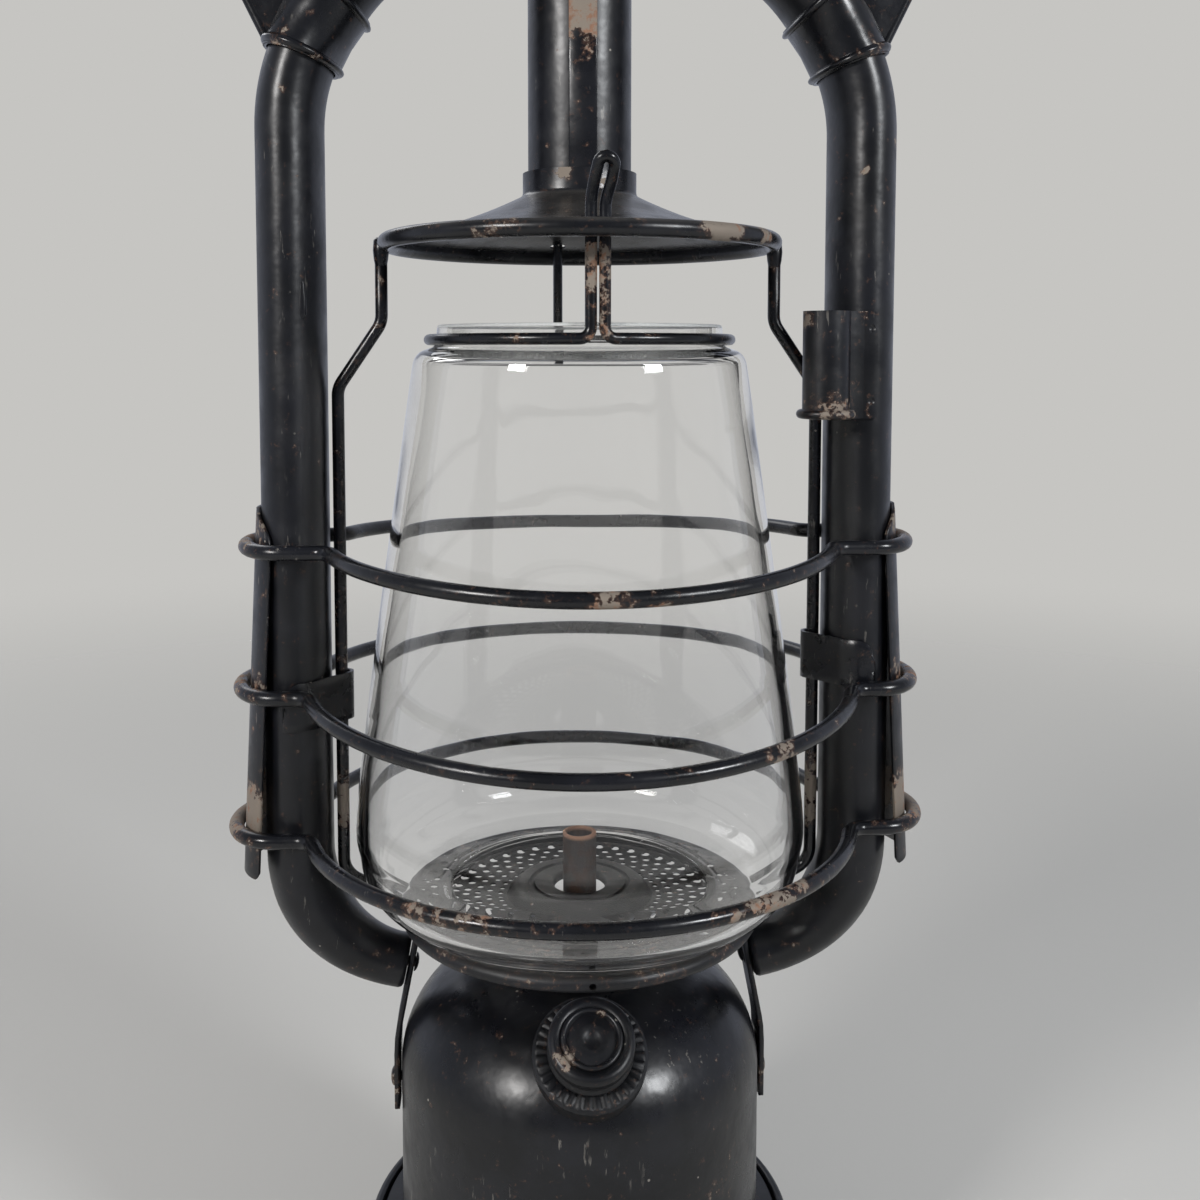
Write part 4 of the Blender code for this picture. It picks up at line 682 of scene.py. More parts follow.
def enamelled(name, gloss=0.34, chips=0.68, chip_size=0.0035, rusty=0.5, haze=0.0, spots=(), specks=0.00022):
    """Black stoving enamel on sheet or wire: a semi-gloss coat with soft orange peel,
    chipped to brown rust and grey steel, thicker round the spots, with fine pale specks."""
    found = bpy.data.materials.get(name)
    if found:
        return found
    look = bpy.context.scene.lantern_finish
    material, tree, shader, place = blank(name)
    rust_colour, dust_colour = colour(look.rust), colour(look.dust)

    # The coat is thinner in clouds of about 20 mm, with orange peel and lumps of 2 to 5 mm
    cloudy = node(tree, "TexNoise", {"Vector": place, "Scale": 1 / CLOUD, "Detail": 4.0, "Roughness": 0.6})
    thin = node(tree, "MapRange", {0: cloudy, 1: 0.40, 2: 0.68}, **SMOOTH)
    coat = node(tree, "Mix", {0: thin, 6: colour(look.enamel), 7: colour(look.enamel_thin)}, 2, **COLOURS)
    peel = node(tree, "TexNoise", {"Vector": place, "Scale": 1 / PEEL, "Detail": 2.0, "Roughness": 0.6})
    lumps = node(tree, "TexNoise", {"Vector": place, "Scale": 1 / LUMP, "Detail": 2.0, "Roughness": 0.45})

    # Chips a few millimetres wide with ragged edges, and a brown stain round them
    ragged = {"Vector": place, "Scale": 1 / chip_size, "Detail": 9.0, "Roughness": 0.66}
    ragged = {0: node(tree, "TexNoise", ragged), 1: (look.wear - 0.5) * 0.1}
    level = node(tree, "Math", ragged, operation="ADD")
    if spots:
        level = node(tree, "Math", {0: level, 1: near(tree, place, spots)}, operation="ADD")
    chipped = node(tree, "MapRange", {0: level, 1: chips, 2: chips + 0.018}, **SMOOTH)
    stained = node(tree, "MapRange", {0: level, 1: chips - 0.10, 2: chips, 4: 0.35}, **SMOOTH)
    coat = node(tree, "Mix", {0: stained, 6: coat, 7: rust_colour}, 2, **COLOURS)

    # Under the coat, rust or bare steel in patches of about 3 mm
    patches = {"Vector": place, "Scale": 1 / RUST_PATCH, "Detail": 7.0, "Roughness": 0.7}
    steely = {0: node(tree, "TexNoise", patches), 1: rusty - 0.06, 2: rusty + 0.06}
    steely = node(tree, "MapRange", steely, **SMOOTH)
    flecks = {"Vector": place, "Scale": 1 / RUST_FLECK, "Detail": 4.0, "Roughness": 0.6}
    rust = {0: node(tree, "TexNoise", flecks), 6: rust_colour, 7: colour(look.rust_light)}
    rust = node(tree, "Mix", rust, 2, **COLOURS)
    bare = node(tree, "Mix", {0: steely, 6: rust, 7: colour(look.steel)}, 2, **COLOURS)

    if haze:
        # Dust lies only on what faces up
        up = node(tree, "SeparateXYZ", {0: node(tree, "NewGeometry", {}, "Normal")}, 2)
        up = node(tree, "MapRange", {0: up, 1: 0.25, 2: 0.95, 4: haze}, **SMOOTH)
        patchy = node(tree, "MapRange", {0: cloudy, 1: 0.30, 2: 0.70, 3: 0.35, 4: 1.0}, **SMOOTH)
        dusty = node(tree, "Math", {0: up, 1: patchy}, operation="MULTIPLY")
        coat = node(tree, "Mix", {0: dusty, 6: coat, 7: dust_colour}, 2, **COLOURS)

    # Specks of dust and old paint, a few tenths of a millimetre wide and about 5 mm apart
    cells = node(tree, "TexVoronoi", {"Vector": place, "Scale": 1 / SPECK_PITCH, "Randomness": 1.0})
    speck_edge = specks / SPECK_PITCH
    speck = node(tree, "MapRange", {0: cells, 1: speck_edge, 2: speck_edge * 1.6, 3: 0.6, 4: 0.0}, **SMOOTH)
    field = {"Vector": place, "Scale": 1 / SPECK_FIELD, "Detail": 2.0, "Roughness": 0.6}
    field = node(tree, "MapRange", {0: node(tree, "TexNoise", field), 1: 0.50, 2: 0.62}, **SMOOTH)
    speck = node(tree, "Math", {0: speck, 1: field}, operation="MULTIPLY")
    # Fine upright scuffs, only where the coat is cloudy
    upright = node(tree, "VectorMath", {0: place, 1: (1.0, 1.0, 0.16)}, operation="MULTIPLY")
    scuffs = node(tree, "TexNoise", {"Vector": upright, "Scale": 1 / SCUFF, "Detail": 4.0, "Roughness": 0.6})
    scuffs = node(tree, "MapRange", {0: scuffs, 1: 0.64, 2: 0.70, 4: 0.22}, **SMOOTH)
    clouds = node(tree, "MapRange", {0: cloudy, 1: 0.50, 2: 0.62}, **SMOOTH)
    scuffs = node(tree, "Math", {0: scuffs, 1: clouds}, operation="MULTIPLY")
    pale = node(tree, "Math", {0: speck, 1: scuffs}, operation="MAXIMUM")
    coat = node(tree, "Mix", {0: pale, 6: coat, 7: dust_colour}, 2, **COLOURS)
    base = node(tree, "Mix", {0: chipped, 6: coat, 7: bare}, 2, **COLOURS)

    patches = {"Vector": place, "Scale": 1 / DULL_PATCH, "Detail": 4.0, "Roughness": 0.6}
    dull = {0: node(tree, "TexNoise", patches), 1: 0.35, 2: 0.70, 3: gloss - 0.04, 4: gloss + 0.08}
    rough = node(tree, "Mix", {0: chipped, 2: node(tree, "MapRange", dull, **SMOOTH), 3: 0.78})
    metal = node(tree, "Math", {0: chipped, 1: steely}, operation="MULTIPLY")
    metal = node(tree, "Math", {0: metal, 1: 0.7}, operation="MULTIPLY")
    height = node(tree, "Math", {0: peel, 1: 0.16}, operation="MULTIPLY")
    height = node(tree, "Math", {0: lumps, 1: 2.4, 2: height}, operation="MULTIPLY_ADD")
    height = node(tree, "Math", {0: height, 1: chipped}, operation="SUBTRACT")
    bump = node(tree, "Bump", {"Height": height, "Strength": 0.6, "Distance": 0.00009})
    fill(tree, shader, {"Base Color": base, "Roughness": rough, "Metallic": metal, "Normal": bump,
                        "Specular IOR Level": 0.42})
    return material


def rusty_steel():
    """Mild steel tube left bare and rusted: dull brown with darker scale and a pitted face."""
    look = bpy.context.scene.lantern_finish
    material, tree, shader, place = blank("rusty_mild_steel")
    # Scale in lumps of 3 mm, pits of about half a millimetre
    scale = node(tree, "TexNoise", {"Vector": place, "Scale": 1 / 0.003, "Detail": 8.0, "Roughness": 0.6})
    scale = node(tree, "MapRange", {0: scale, 1: 0.42, 2: 0.60}, **SMOOTH)
    dark, brown = colour(linear("#1f1a18")), colour(linear("#3b2a21"))
    base = node(tree, "Mix", {0: scale, 6: dark, 7: brown}, 2, **COLOURS)
    pits = node(tree, "TexNoise", {"Vector": place, "Scale": 1 / 0.0006, "Detail": 4.0, "Roughness": 0.6})
    pitted = node(tree, "MapRange", {0: pits, 1: 0.60, 2: 0.72}, **SMOOTH)
    base = node(tree, "Mix", {0: pitted, 6: base, 7: colour(look.rust)}, 2, **COLOURS)
    # The mouth has rusted orange
    height = node(tree, "SeparateXYZ", {0: place}, 2)
    mouth = node(tree, "MapRange", {0: height, 1: PIPE_TOP_Z - 0.0012, 2: PIPE_TOP_Z - 0.0002}, **SMOOTH)
    base = node(tree, "Mix", {0: mouth, 6: base, 7: colour(look.rust_light)}, 2, **COLOURS)
    rough = node(tree, "MapRange", {0: scale, 3: 0.55, 4: 0.85}, **SMOOTH)
    bump = node(tree, "Bump", {"Height": pits, "Strength": 0.7, "Distance": 0.0002})
    fill(tree, shader, {"Base Color": base, "Roughness": rough, "Metallic": 0.25, "Normal": bump})
    return material


def aged_brass():
    """Turned brass gone brown in patches, with fine lathe lines round it."""
    found = bpy.data.materials.get("aged_turned_brass")
    if found:
        return found
    look = bpy.context.scene.lantern_finish
    material, tree, shader, place = blank("aged_turned_brass")
    tarnish = node(tree, "TexNoise", {"Vector": place, "Scale": 1 / 0.006, "Detail": 6.0, "Roughness": 0.6})
    tarnish = node(tree, "MapRange", {0: tarnish, 1: 0.35, 2: 0.68}, **SMOOTH)
    base = {0: tarnish, 6: colour(look.brass), 7: colour(linear("#6b5230"))}
    base = node(tree, "Mix", base, 2, **COLOURS)
    rough = node(tree, "MapRange", {0: tarnish, 3: 0.28, 4: 0.52}, **SMOOTH)
    # Lathe lines 0.3 mm apart
    around = node(tree, "VectorMath", {0: place, 1: (1.0, 1.0, 4.0)}, operation="MULTIPLY")
    lines = node(tree, "TexNoise", {"Vector": around, "Scale": 1 / 0.0012, "Detail": 3.0, "Roughness": 0.6})
    bump = node(tree, "Bump", {"Height": lines, "Strength": 0.25, "Distance": 0.0001})
    fill(tree, shader, {"Base Color": base, "Roughness": rough, "Metallic": 1.0, "Normal": bump})
    return material


def bare_sheet():
    """Tinned sheet steel inside the lantern: grey, dull, with water stains."""
    look = bpy.context.scene.lantern_finish
    material, tree, shader, place = blank("dull_tinned_sheet")
    # Stains of about 8 mm
    stain = node(tree, "TexNoise", {"Vector": place, "Scale": 1 / 0.008, "Detail": 7.0, "Roughness": 0.6})
    stain = node(tree, "MapRange", {0: stain, 1: 0.42, 2: 0.62}, **SMOOTH)
    base = {0: stain, 6: colour(look.steel), 7: colour(linear("#5c5149"))}
    base = node(tree, "Mix", base, 2, **COLOURS)
    rough = node(tree, "MapRange", {0: stain, 3: 0.40, 4: 0.65}, **SMOOTH)
    fill(tree, shader, {"Base Color": base, "Roughness": rough, "Metallic": 0.85})
    return material


def moulded_rubber():
    """Black moulded rubber: dull, faintly grey, slightly grainy."""
    material, tree, shader, place = blank("moulded_rubber")
    fine = node(tree, "TexNoise", {"Vector": place, "Scale": 1 / 0.0008, "Detail": 3.0, "Roughness": 0.6})
    base = {0: fine, 6: colour(linear("#17171a")), 7: colour(linear("#26262a"))}
    base = node(tree, "Mix", base, 2, **COLOURS)
    bump = node(tree, "Bump", {"Height": fine, "Strength": 0.2, "Distance": 0.0001})
    fill(tree, shader, {"Base Color": base, "Roughness": 0.72, "Normal": bump})
    return material


def blown_glass():
    """Clear pressed soda glass: hardly any tint, slightly wavy faces, a little film in smears."""
    material, tree, shader, place = blank("clear_soda_glass")
    # The film is in smears of about 12 mm
    film = node(tree, "TexNoise", {"Vector": place, "Scale": 1 / 0.012, "Detail": 5.0, "Roughness": 0.6})
    film = node(tree, "MapRange", {0: film, 1: 0.56, 2: 0.75, 4: 0.045}, **SMOOTH)
    # Waves about 25 mm long, shallow enough to bend only the highlights
    waves = node(tree, "TexNoise", {"Vector": place, "Scale": 1 / 0.025, "Detail": 1.0, "Roughness": 0.4})
    bump = node(tree, "Bump", {"Height": waves, "Strength": 0.30, "Distance": 0.0012})
    fill(tree, shader, {"Base Color": colour(linear("#ffffff")), "Transmission Weight": 1.0, "IOR": 1.5,
                        "Roughness": film, "Normal": bump})
    return material


def ground_glass():
    """Ground top edge of the globe: white, rough and sparkling."""
    material, tree, shader, place = blank("ground_glass_edge")
    # Grit of half a millimetre
    grit = node(tree, "TexNoise", {"Vector": place, "Scale": 1 / 0.0005, "Detail": 4.0, "Roughness": 0.6})
    base = {0: grit, 6: colour(linear("#c9cfcd")), 7: colour(linear("#ffffff"))}
    base = node(tree, "Mix", base, 2, **COLOURS)
    bump = node(tree, "Bump", {"Height": grit, "Strength": 0.9, "Distance": 0.0004})
    fill(tree, shader, {"Base Color": base, "Roughness": 0.35, "Transmission Weight": 0.45, "IOR": 1.5,
                        "Normal": bump})
    return material


# Where the enamel has worn most: (centre, reach, amount) in metres; a negative amount is one-sided
RING_SPOTS = (
    ((0.080, 0.0, 0.2125), 0.020, 0.23),
    ((0.082, 0.0, 0.1790), 0.020, 0.23),
    ((0.083, 0.0, 0.1455), 0.024, 0.29),
    ((0.002, -0.060, 0.2085), 0.007, -0.32),
    ((0.012, -0.059, 0.2085), 0.004, -0.32),
    ((-0.041, -0.044, 0.2090), 0.003, -0.29),
    ((0.038, -0.052, 0.1750), 0.010, -0.20),
    ((-0.030, -0.058, 0.1455), 0.026, -0.14),
    ((0.036, -0.054, 0.1455), 0.024, -0.20),
)
STRIP_SPOTS = (
    ((0.078, -0.010, 0.217), 0.009, 0.26),
    ((0.080, -0.010, 0.180), 0.010, 0.26),
    ((0.081, -0.010, 0.150), 0.012, 0.29),
    ((0.080, 0.010, 0.150), 0.012, 0.23),
)
PLATE_SPOTS = (
    ((0.028, -0.038, 0.2850), 0.009, -0.43),
    ((0.040, -0.026, 0.2845), 0.006, -0.29),
    ((-0.020, -0.043, 0.2845), 0.012, -0.12),
    ((0.0035, -0.013, 0.2975), 0.0040, -0.30),
    ((-0.0045, -0.013, 0.3000), 0.0040, -0.26),
    ((0.0015, -0.036, 0.2830), 0.006, -0.35),
)
SEAM_SPOTS = (
    ((0.0, 0.0127, 0.3530), 0.0290, 1.60),
    ((0.0, 0.0127, 0.3255), 0.005, 0.06),
    ((0.003, 0.0127, 0.3120), 0.006, 0.05),
)
LIFT_SPOTS = (
    ((0.0575, 0.0, 0.150), 0.014, 0.29),
    ((0.0575, 0.0, 0.190), 0.030, 0.08),
    ((0.047, 0.0, 0.276), 0.012, 0.05),
)
GALLERY_SPOTS = (
    ((0.012, 0.036, 0.125), 0.012, 0.14),
    ((0.030, 0.028, 0.123), 0.010, 0.09),
)
SOCKET_SPOTS = (
    ((0.0515, -0.0140, 0.2660), 0.005, 0.23),
    ((0.0580, -0.0170, 0.2432), 0.010, 0.23),
    ((0.0660, -0.0120, 0.2680), 0.003, 0.17),
)
TUBE_SPOTS = (
    ((0.052, 0.0, 0.112), 0.012, 0.15),
    ((0.060, 0.0, 0.120), 0.010, 0.14),
    ((0.0655, -0.0115, 0.3005), 0.0020, -0.42),
    ((-0.0680, -0.0105, 0.3175), 0.0022, -0.38),
    ((0.0735, -0.006, 0.3080), 0.0035, -0.28),
    ((0.0755, -0.005, 0.2920), 0.0030, -0.26),
    ((0.0755, -0.005, 0.2300), 0.0040, -0.24),
)
COLLAR_SPOTS = (
    ((0.0680, 0.0100, 0.3270), 0.007, 0.13),
    ((0.0600, 0.0115, 0.3230), 0.005, 0.11),
    ((0.0755, 0.0, 0.350), 0.010, 0.10),
)
RETAINER_SPOTS = (
    ((0.0004, -0.0358, 0.2780), 0.009, -0.20),
    ((0.0030, -0.0358, 0.2720), 0.012, -0.12),
    ((0.0016, -0.0358, 0.2620), 0.006, -0.15),
    ((-0.015, -0.033, 0.2614), 0.006, -0.12),
)
TANK_SPOTS = (
    ((-0.030, -0.030, 0.100), 0.010, -0.06),
    ((0.030, -0.034, 0.070), 0.012, -0.07),
)
POT_SPOTS = (
    ((0.0, -0.052, 0.040), 0.03, 0.03),
    ((0.046, 0.0, 0.002), 0.02, 0.06),
)
BAIL_SPOTS = (
    ((0.083, 0.0, 0.352), 0.012, 0.12),
    ((0.0, 0.0, 0.441), 0.04, 0.10),
)
# Cream paint left in flakes on the cap's face: (x, y) on the face, reach and amount
CAP_SPOTS = (
    (-0.006, -0.004, 0.0045, -0.26),
    (0.002, 0.0055, 0.002, -0.2),
)
STRAP_SPOTS = (
    ((0.044, -0.005, 0.120), 0.008, 0.17),
    ((0.045, -0.005, 0.080), 0.010, 0.12),
)


def shoulder_centre():
    """Centre (radius, height) of the arc of the tank's shoulder."""
    return TANK_R - TANK_SHOULDER_R, TANK_TOP_Z - TANK_SHOULDER_R


def filler_place():
    """Matrix from the filler's own axis, on Z from the shoulder, to its place on the tank."""
    centre_r, centre_z = shoulder_centre()
    foot_y, foot_z = -centre_r - TANK_SHOULDER_R * cos(CAP_TILT), centre_z + TANK_SHOULDER_R * sin(CAP_TILT)
    return Matrix.Translation((0, foot_y, foot_z)) @ Matrix.Rotation(pi / 2 - CAP_TILT, 4, "X")


def back_place():
    """Matrix from the regulator's own axis, on Z from the tank's wall, to the tank's back."""
    valve_z = FLOOR_Z + SHEET + VALVE_RISE
    return Matrix.Translation((0, TANK_R, valve_z)) @ Matrix.Rotation(-pi / 2, 4, "X")


def shell_outline(grow, foot_z, hole_r):
    """The tank's outside as a line of (radius, height), grown all round."""
    line = [(TANK_R + grow, foot_z)]
    line += arc(shoulder_centre(), TANK_SHOULDER_R + grow, 0, pi / 2, 28)
    line += [(hole_r + 0.004, TANK_TOP_Z + TANK_CROWN * 0.8 + grow), (hole_r, TANK_TOP_Z + TANK_CROWN + grow)]
    return line


def ridged(radius, foot, top, pitch, depth):
    """A threaded length as a line of (radius, height), up from foot to top."""
    line, height = [], foot
    while height + pitch < top:
        line += [(radius - depth, height), (radius, height + pitch * 0.35), (radius, height + pitch * 0.6)]
        height += pitch
    return line + [(radius - depth, height), (radius - depth, top)]


class LANTERN_OT_tank(bpy.types.Operator):
    """Water tank: drawn shell with a domed shoulder, and the threaded ring in its skirt"""

    bl_idname = "lantern.tank"
    bl_label = "Water tank"

    def execute(self, context):
        foot_z = FLOOR_Z - FLOOR_FLANGE - TANK_SKIRT
        hole_r = PIPE_R + FIT
        line = shell_outline(0, foot_z, hole_r)
        shell = made("tank_shell", lathe(line + shell_outline(-SHEET, foot_z, hole_r)[::-1], 128))
        bore = lathe([(0, -NECK_ROOT), (NECK_BORE_R, -NECK_ROOT), (NECK_BORE_R, NECK_TOP), (0, NECK_TOP)], 48)
        gland = bar((0, 0, -GLAND_SPIGOT), (0, 0, CUT_OVERRUN), GLAND_SPIGOT_R + FIT)
        shaped(shell, [placed(bore, filler_place()), placed(gland, back_place())])
        worn(shell, enamelled("stoved_enamel_tank", 0.31, 0.70, 0.0022, 0.4, 0.0, TANK_SPOTS, 0.00024),
             "frame", ["water_tank"])

        ledge_z = POT_COLLAR_FOOT_Z + POT_COLLAR_CONE
        ring_foot = ledge_z + FIT + GASKET_HEIGHT + FIT
        ring_out = POT_COLLAR_R - POT_COLLAR_WALL - SLIDE_FIT
        ring_top = ring_foot + BASE_RING_HEIGHT
        thread = ridged(ring_out, ring_foot, ring_top, THREAD_PITCH, BASE_THREAD)
        ring = lathe([(TANK_R + FIT, ring_foot), *thread, (TANK_R + FIT, ring_top)])
        worn(made("tank_screw_ring", ring, 24), enamelled("stoved_enamel_tank"), "frame", ["tank_base_ring"])

        brass, sheet, rubber = aged_brass(), bare_sheet(), moulded_rubber()
        inner = {"tank_floor": sheet, "carbide_basket": sheet, "drip_tube": brass, "valve_block": brass,
                 "valve_rod": brass, "cap_washer": rubber, "pot_gasket": rubber}
        for name, finish in inner.items():
            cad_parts[name].data.materials[0] = finish
        return {"FINISHED"}


class LANTERN_OT_pot(bpy.types.Operator):
    """Carbide pot: drawn cup with a thick screwed collar"""

    bl_idname = "lantern.pot"
    bl_label = "Carbide pot"

    def execute(self, context):
        ledge_z = POT_COLLAR_FOOT_Z + POT_COLLAR_CONE
        collar_in = POT_COLLAR_R - POT_COLLAR_WALL
        outline = [(0, 0), *arc((POT_R - POT_FILLET, POT_FILLET), POT_FILLET, -pi / 2, 0, 10)]
        low_z, high_z = ledge_z + POT_LOWER_BAND, POT_TOP_Z - POT_UPPER_BAND
        groove_r = POT_COLLAR_R - POT_GROOVE
        outline += [(POT_R, POT_COLLAR_FOOT_Z), (POT_COLLAR_R, ledge_z), (POT_COLLAR_R, low_z)]
        outline += [(groove_r, low_z + POT_GROOVE_SLOPE), (groove_r, high_z - POT_GROOVE_SLOPE)]
        outline += [(POT_COLLAR_R, high_z), (POT_COLLAR_R, POT_TOP_Z - POT_EDGE)]
        outline += [(POT_COLLAR_R - POT_EDGE, POT_TOP_Z), (collar_in + POT_EDGE, POT_TOP_Z)]
        outline += [(collar_in, POT_TOP_Z - POT_EDGE), (collar_in, ledge_z), (POT_R - POT_WALL, ledge_z)]
        outline += arc((POT_R - POT_FILLET, POT_FILLET), POT_FILLET - POT_WALL, 0, -pi / 2, 8)
        pot = made("pot_body", lathe(outline + [(0, POT_WALL)], 128), 24)
        eased(pot, 0.0003, 24)
        worn(pot, enamelled("stoved_enamel_pot", 0.33, 0.70, 0.003, 0.45, 0.0, POT_SPOTS),
             "carbide_pot", ["carbide_pot"])
        return {"FINISHED"}


class LANTERN_OT_filler(bpy.types.Operator):
    """Filler: threaded neck in a flange with fine radial teeth, and the turned cap"""

    bl_idname = "lantern.filler"
    bl_label = "Filler neck and cap"

    def execute(self, context):
        sides = len(TOOTH_PROFILE_SHARES) * TEETH
        flat = [(NECK_BORE_R, -NECK_ROOT), (FLANGE_R, -NECK_ROOT), (FLANGE_R, FLANGE_TOP - FLANGE_BEVEL)]
        level = (FLANGE_R - FLANGE_BEVEL, TOOTH_OUT_R, TOOTH_OUT_R - TOOTH_SLOPE, TOOTH_IN_R + TOOTH_SLOPE,
                 TOOTH_IN_R, NECK_R - NECK_THREAD)
        flat += [(radius, FLANGE_TOP) for radius in level]
        flat += ridged(NECK_R, FLANGE_TOP + NECK_THREAD_FOOT, NECK_TOP, THREAD_PITCH, NECK_THREAD)
        flat += [(NECK_BORE_R, NECK_TOP)]
        mesh_data = lathe(flat, sides)
        for point in mesh_data.verts:
            radius = hypot(point.co.x, point.co.y)
            step = round(atan2(point.co.y, point.co.x) * sides / (2 * pi)) % len(TOOTH_PROFILE_SHARES)
            if TOOTH_IN_R < radius < TOOTH_OUT_R and abs(point.co.z - FLANGE_TOP) < FIT / 3:
                point.co.z += TOOTH_HEIGHT * TOOTH_PROFILE_SHARES[step]
        neck = made("filler_flange", placed(mesh_data, filler_place()), 40)
        body = shell_outline(FIT / 2, FLOOR_Z, 0)
        shaped(neck, [lathe(body + [(0, FLOOR_Z)], 128)], sharp=40)
        worn(neck, enamelled("stoved_enamel_flange", 0.48, 0.66, 0.0015, 0.45), "frame", ["filler_neck"])

        ceiling = NECK_TOP + FIT + WASHER_HEIGHT + FIT
        face = ceiling + CAP_WALL
        inside_r = CAP_R - CAP_WALL
        foot, shoulder = CAP_SKIRT_FOOT, face - CAP_EDGE
        # A bead at the skirt's foot, a groove above it, and a rounded upper edge
        cap = [(inside_r, foot), (CAP_R - CAP_BEAD / 2, foot), (CAP_R, foot + CAP_BEAD)]
        cap += [(CAP_R, foot + 2.5 * CAP_BEAD), (CAP_R - CAP_BEAD, foot + 3.5 * CAP_BEAD)]
        cap += [(CAP_R - CAP_BEAD, shoulder - 2.5 * CAP_BEAD), (CAP_R, shoulder - 1.25 * CAP_BEAD)]
        cap += arc((CAP_R - CAP_EDGE, shoulder), CAP_EDGE, 0, pi / 2, 7)
        # On the face, a raised ring and a dimple
        cap += [(CAP_RING_R + CAP_RING_HALF * 2, face - CAP_BEAD / 4)]
        cap += [(CAP_RING_R + CAP_RING_HALF, face - CAP_DISH)]
        cap += arc((CAP_RING_R, face), CAP_RING_RISE, radians(20), radians(160), 6)
        cap += [(CAP_RING_R - CAP_RING_HALF * 1.4, face - CAP_DISH)]
        cap += [(CAP_DIMPLE_R * 1.7, face - CAP_DISH / 2), (CAP_DIMPLE_R * 1.15, face - CAP_BEAD / 4)]
        cap += [(CAP_DIMPLE_R * 0.8, face - CAP_DIMPLE_DEPTH * 0.45)]
        cap += [(CAP_DIMPLE_R * 0.4, face - CAP_DIMPLE_DEPTH * 0.9), (0, face - CAP_DIMPLE_DEPTH)]
        cap += [(0, ceiling), (inside_r, ceiling)]
        place = filler_place()
        spots = [(tuple(place @ Vector((x, y, face))), reach, amount) for x, y, reach, amount in CAP_SPOTS]
        worn(made("cap_turned", placed(lathe(cap, 72), place), 50),
             enamelled("stoved_enamel_cap", 0.36, 0.69, 0.0012, 0.40, 0.0, spots),
             "filler_cap", ["filler_cap"])
        return {"FINISHED"}


class LANTERN_OT_regulator(bpy.types.Operator):
    """Water regulator on the tank's back: gland with its nut, and the lobed knob"""

    bl_idname = "lantern.regulator"
    bl_label = "Water regulator"

    def execute(self, context):
        bore_r = ROD_R + FIT
        nut_top = FIT + GLAND_LENGTH + NUT_LENGTH
        groove_r, gland_top = GLAND_R - GLAND_GROOVE, GLAND_LENGTH + FIT
        gland = [(bore_r, -GLAND_SPIGOT), (GLAND_SPIGOT_R, -GLAND_SPIGOT), (GLAND_SPIGOT_R, FIT)]
        gland += [(GLAND_R, FIT), (GLAND_R, GLAND_RING), (groove_r, GLAND_RING + GLAND_GROOVE)]
        gland += [(groove_r, GLAND_LENGTH - 2 * GLAND_GROOVE), (GLAND_R, GLAND_LENGTH - GLAND_GROOVE)]
        gland += [(GLAND_R, gland_top), (NUT_R, gland_top)]
        gland += [(NUT_R, nut_top - NUT_BEVEL), (NUT_R - NUT_BEVEL, nut_top), (bore_r, nut_top)]
        worn(made("gland_turned", placed(lathe(gland, 48), back_place())), aged_brass(),
             "frame", ["regulator_gland"])

        knob_foot = nut_top + KNOB_GAP
        rows = []
        for height, shrink in ((0, KNOB_EDGE), (KNOB_EDGE * 0.75, 0), (KNOB_LENGTH - KNOB_EDGE * 1.5, 0),
                               (KNOB_LENGTH - KNOB_EDGE / 2, KNOB_EDGE * 0.75), (KNOB_LENGTH, KNOB_EDGE * 2)):
            ring = []
            for turn in full_turn(120):
                radius = KNOB_R + KNOB_LOBE * cos(KNOB_LOBES * turn) - shrink
                ring.append(Vector((radius * cos(turn), radius * sin(turn), knob_foot + height)))
            rows.append(ring)
        knob = made("knob_lobed", placed(loft(rows), back_place()), 50)
        bore = bar((0, 0, knob_foot - CUT_OVERRUN), (0, 0, knob_foot + KNOB_SEAT), bore_r)
        shaped(knob, [placed(bore, back_place())], sharp=50)
        worn(knob, aged_brass(), "regulator_knob", ["regulator_knob"])
        return {"FINISHED"}


def strap_outer_x(z):
    """Where the strap's outer face stands at a height."""
    return TANK_R + FIT + STRAP_THICK - max(z - STRAP_BEND_Z, 0) * tan(STRAP_TILT)


def tube_end():
    """Lower end of a tube's centre line, (x, z), flush with the strap's outer face."""
    turn = pi / 2 - STRAP_TILT
    x, z = TUBE_X - LOW_BEND_R + LOW_BEND_R * cos(turn), LOW_BEND_Z - LOW_BEND_R * sin(turn)
    run = (x - strap_outer_x(z)) * cos(STRAP_TILT) - FIT
    return x - run * cos(STRAP_TILT), z - run * sin(STRAP_TILT)


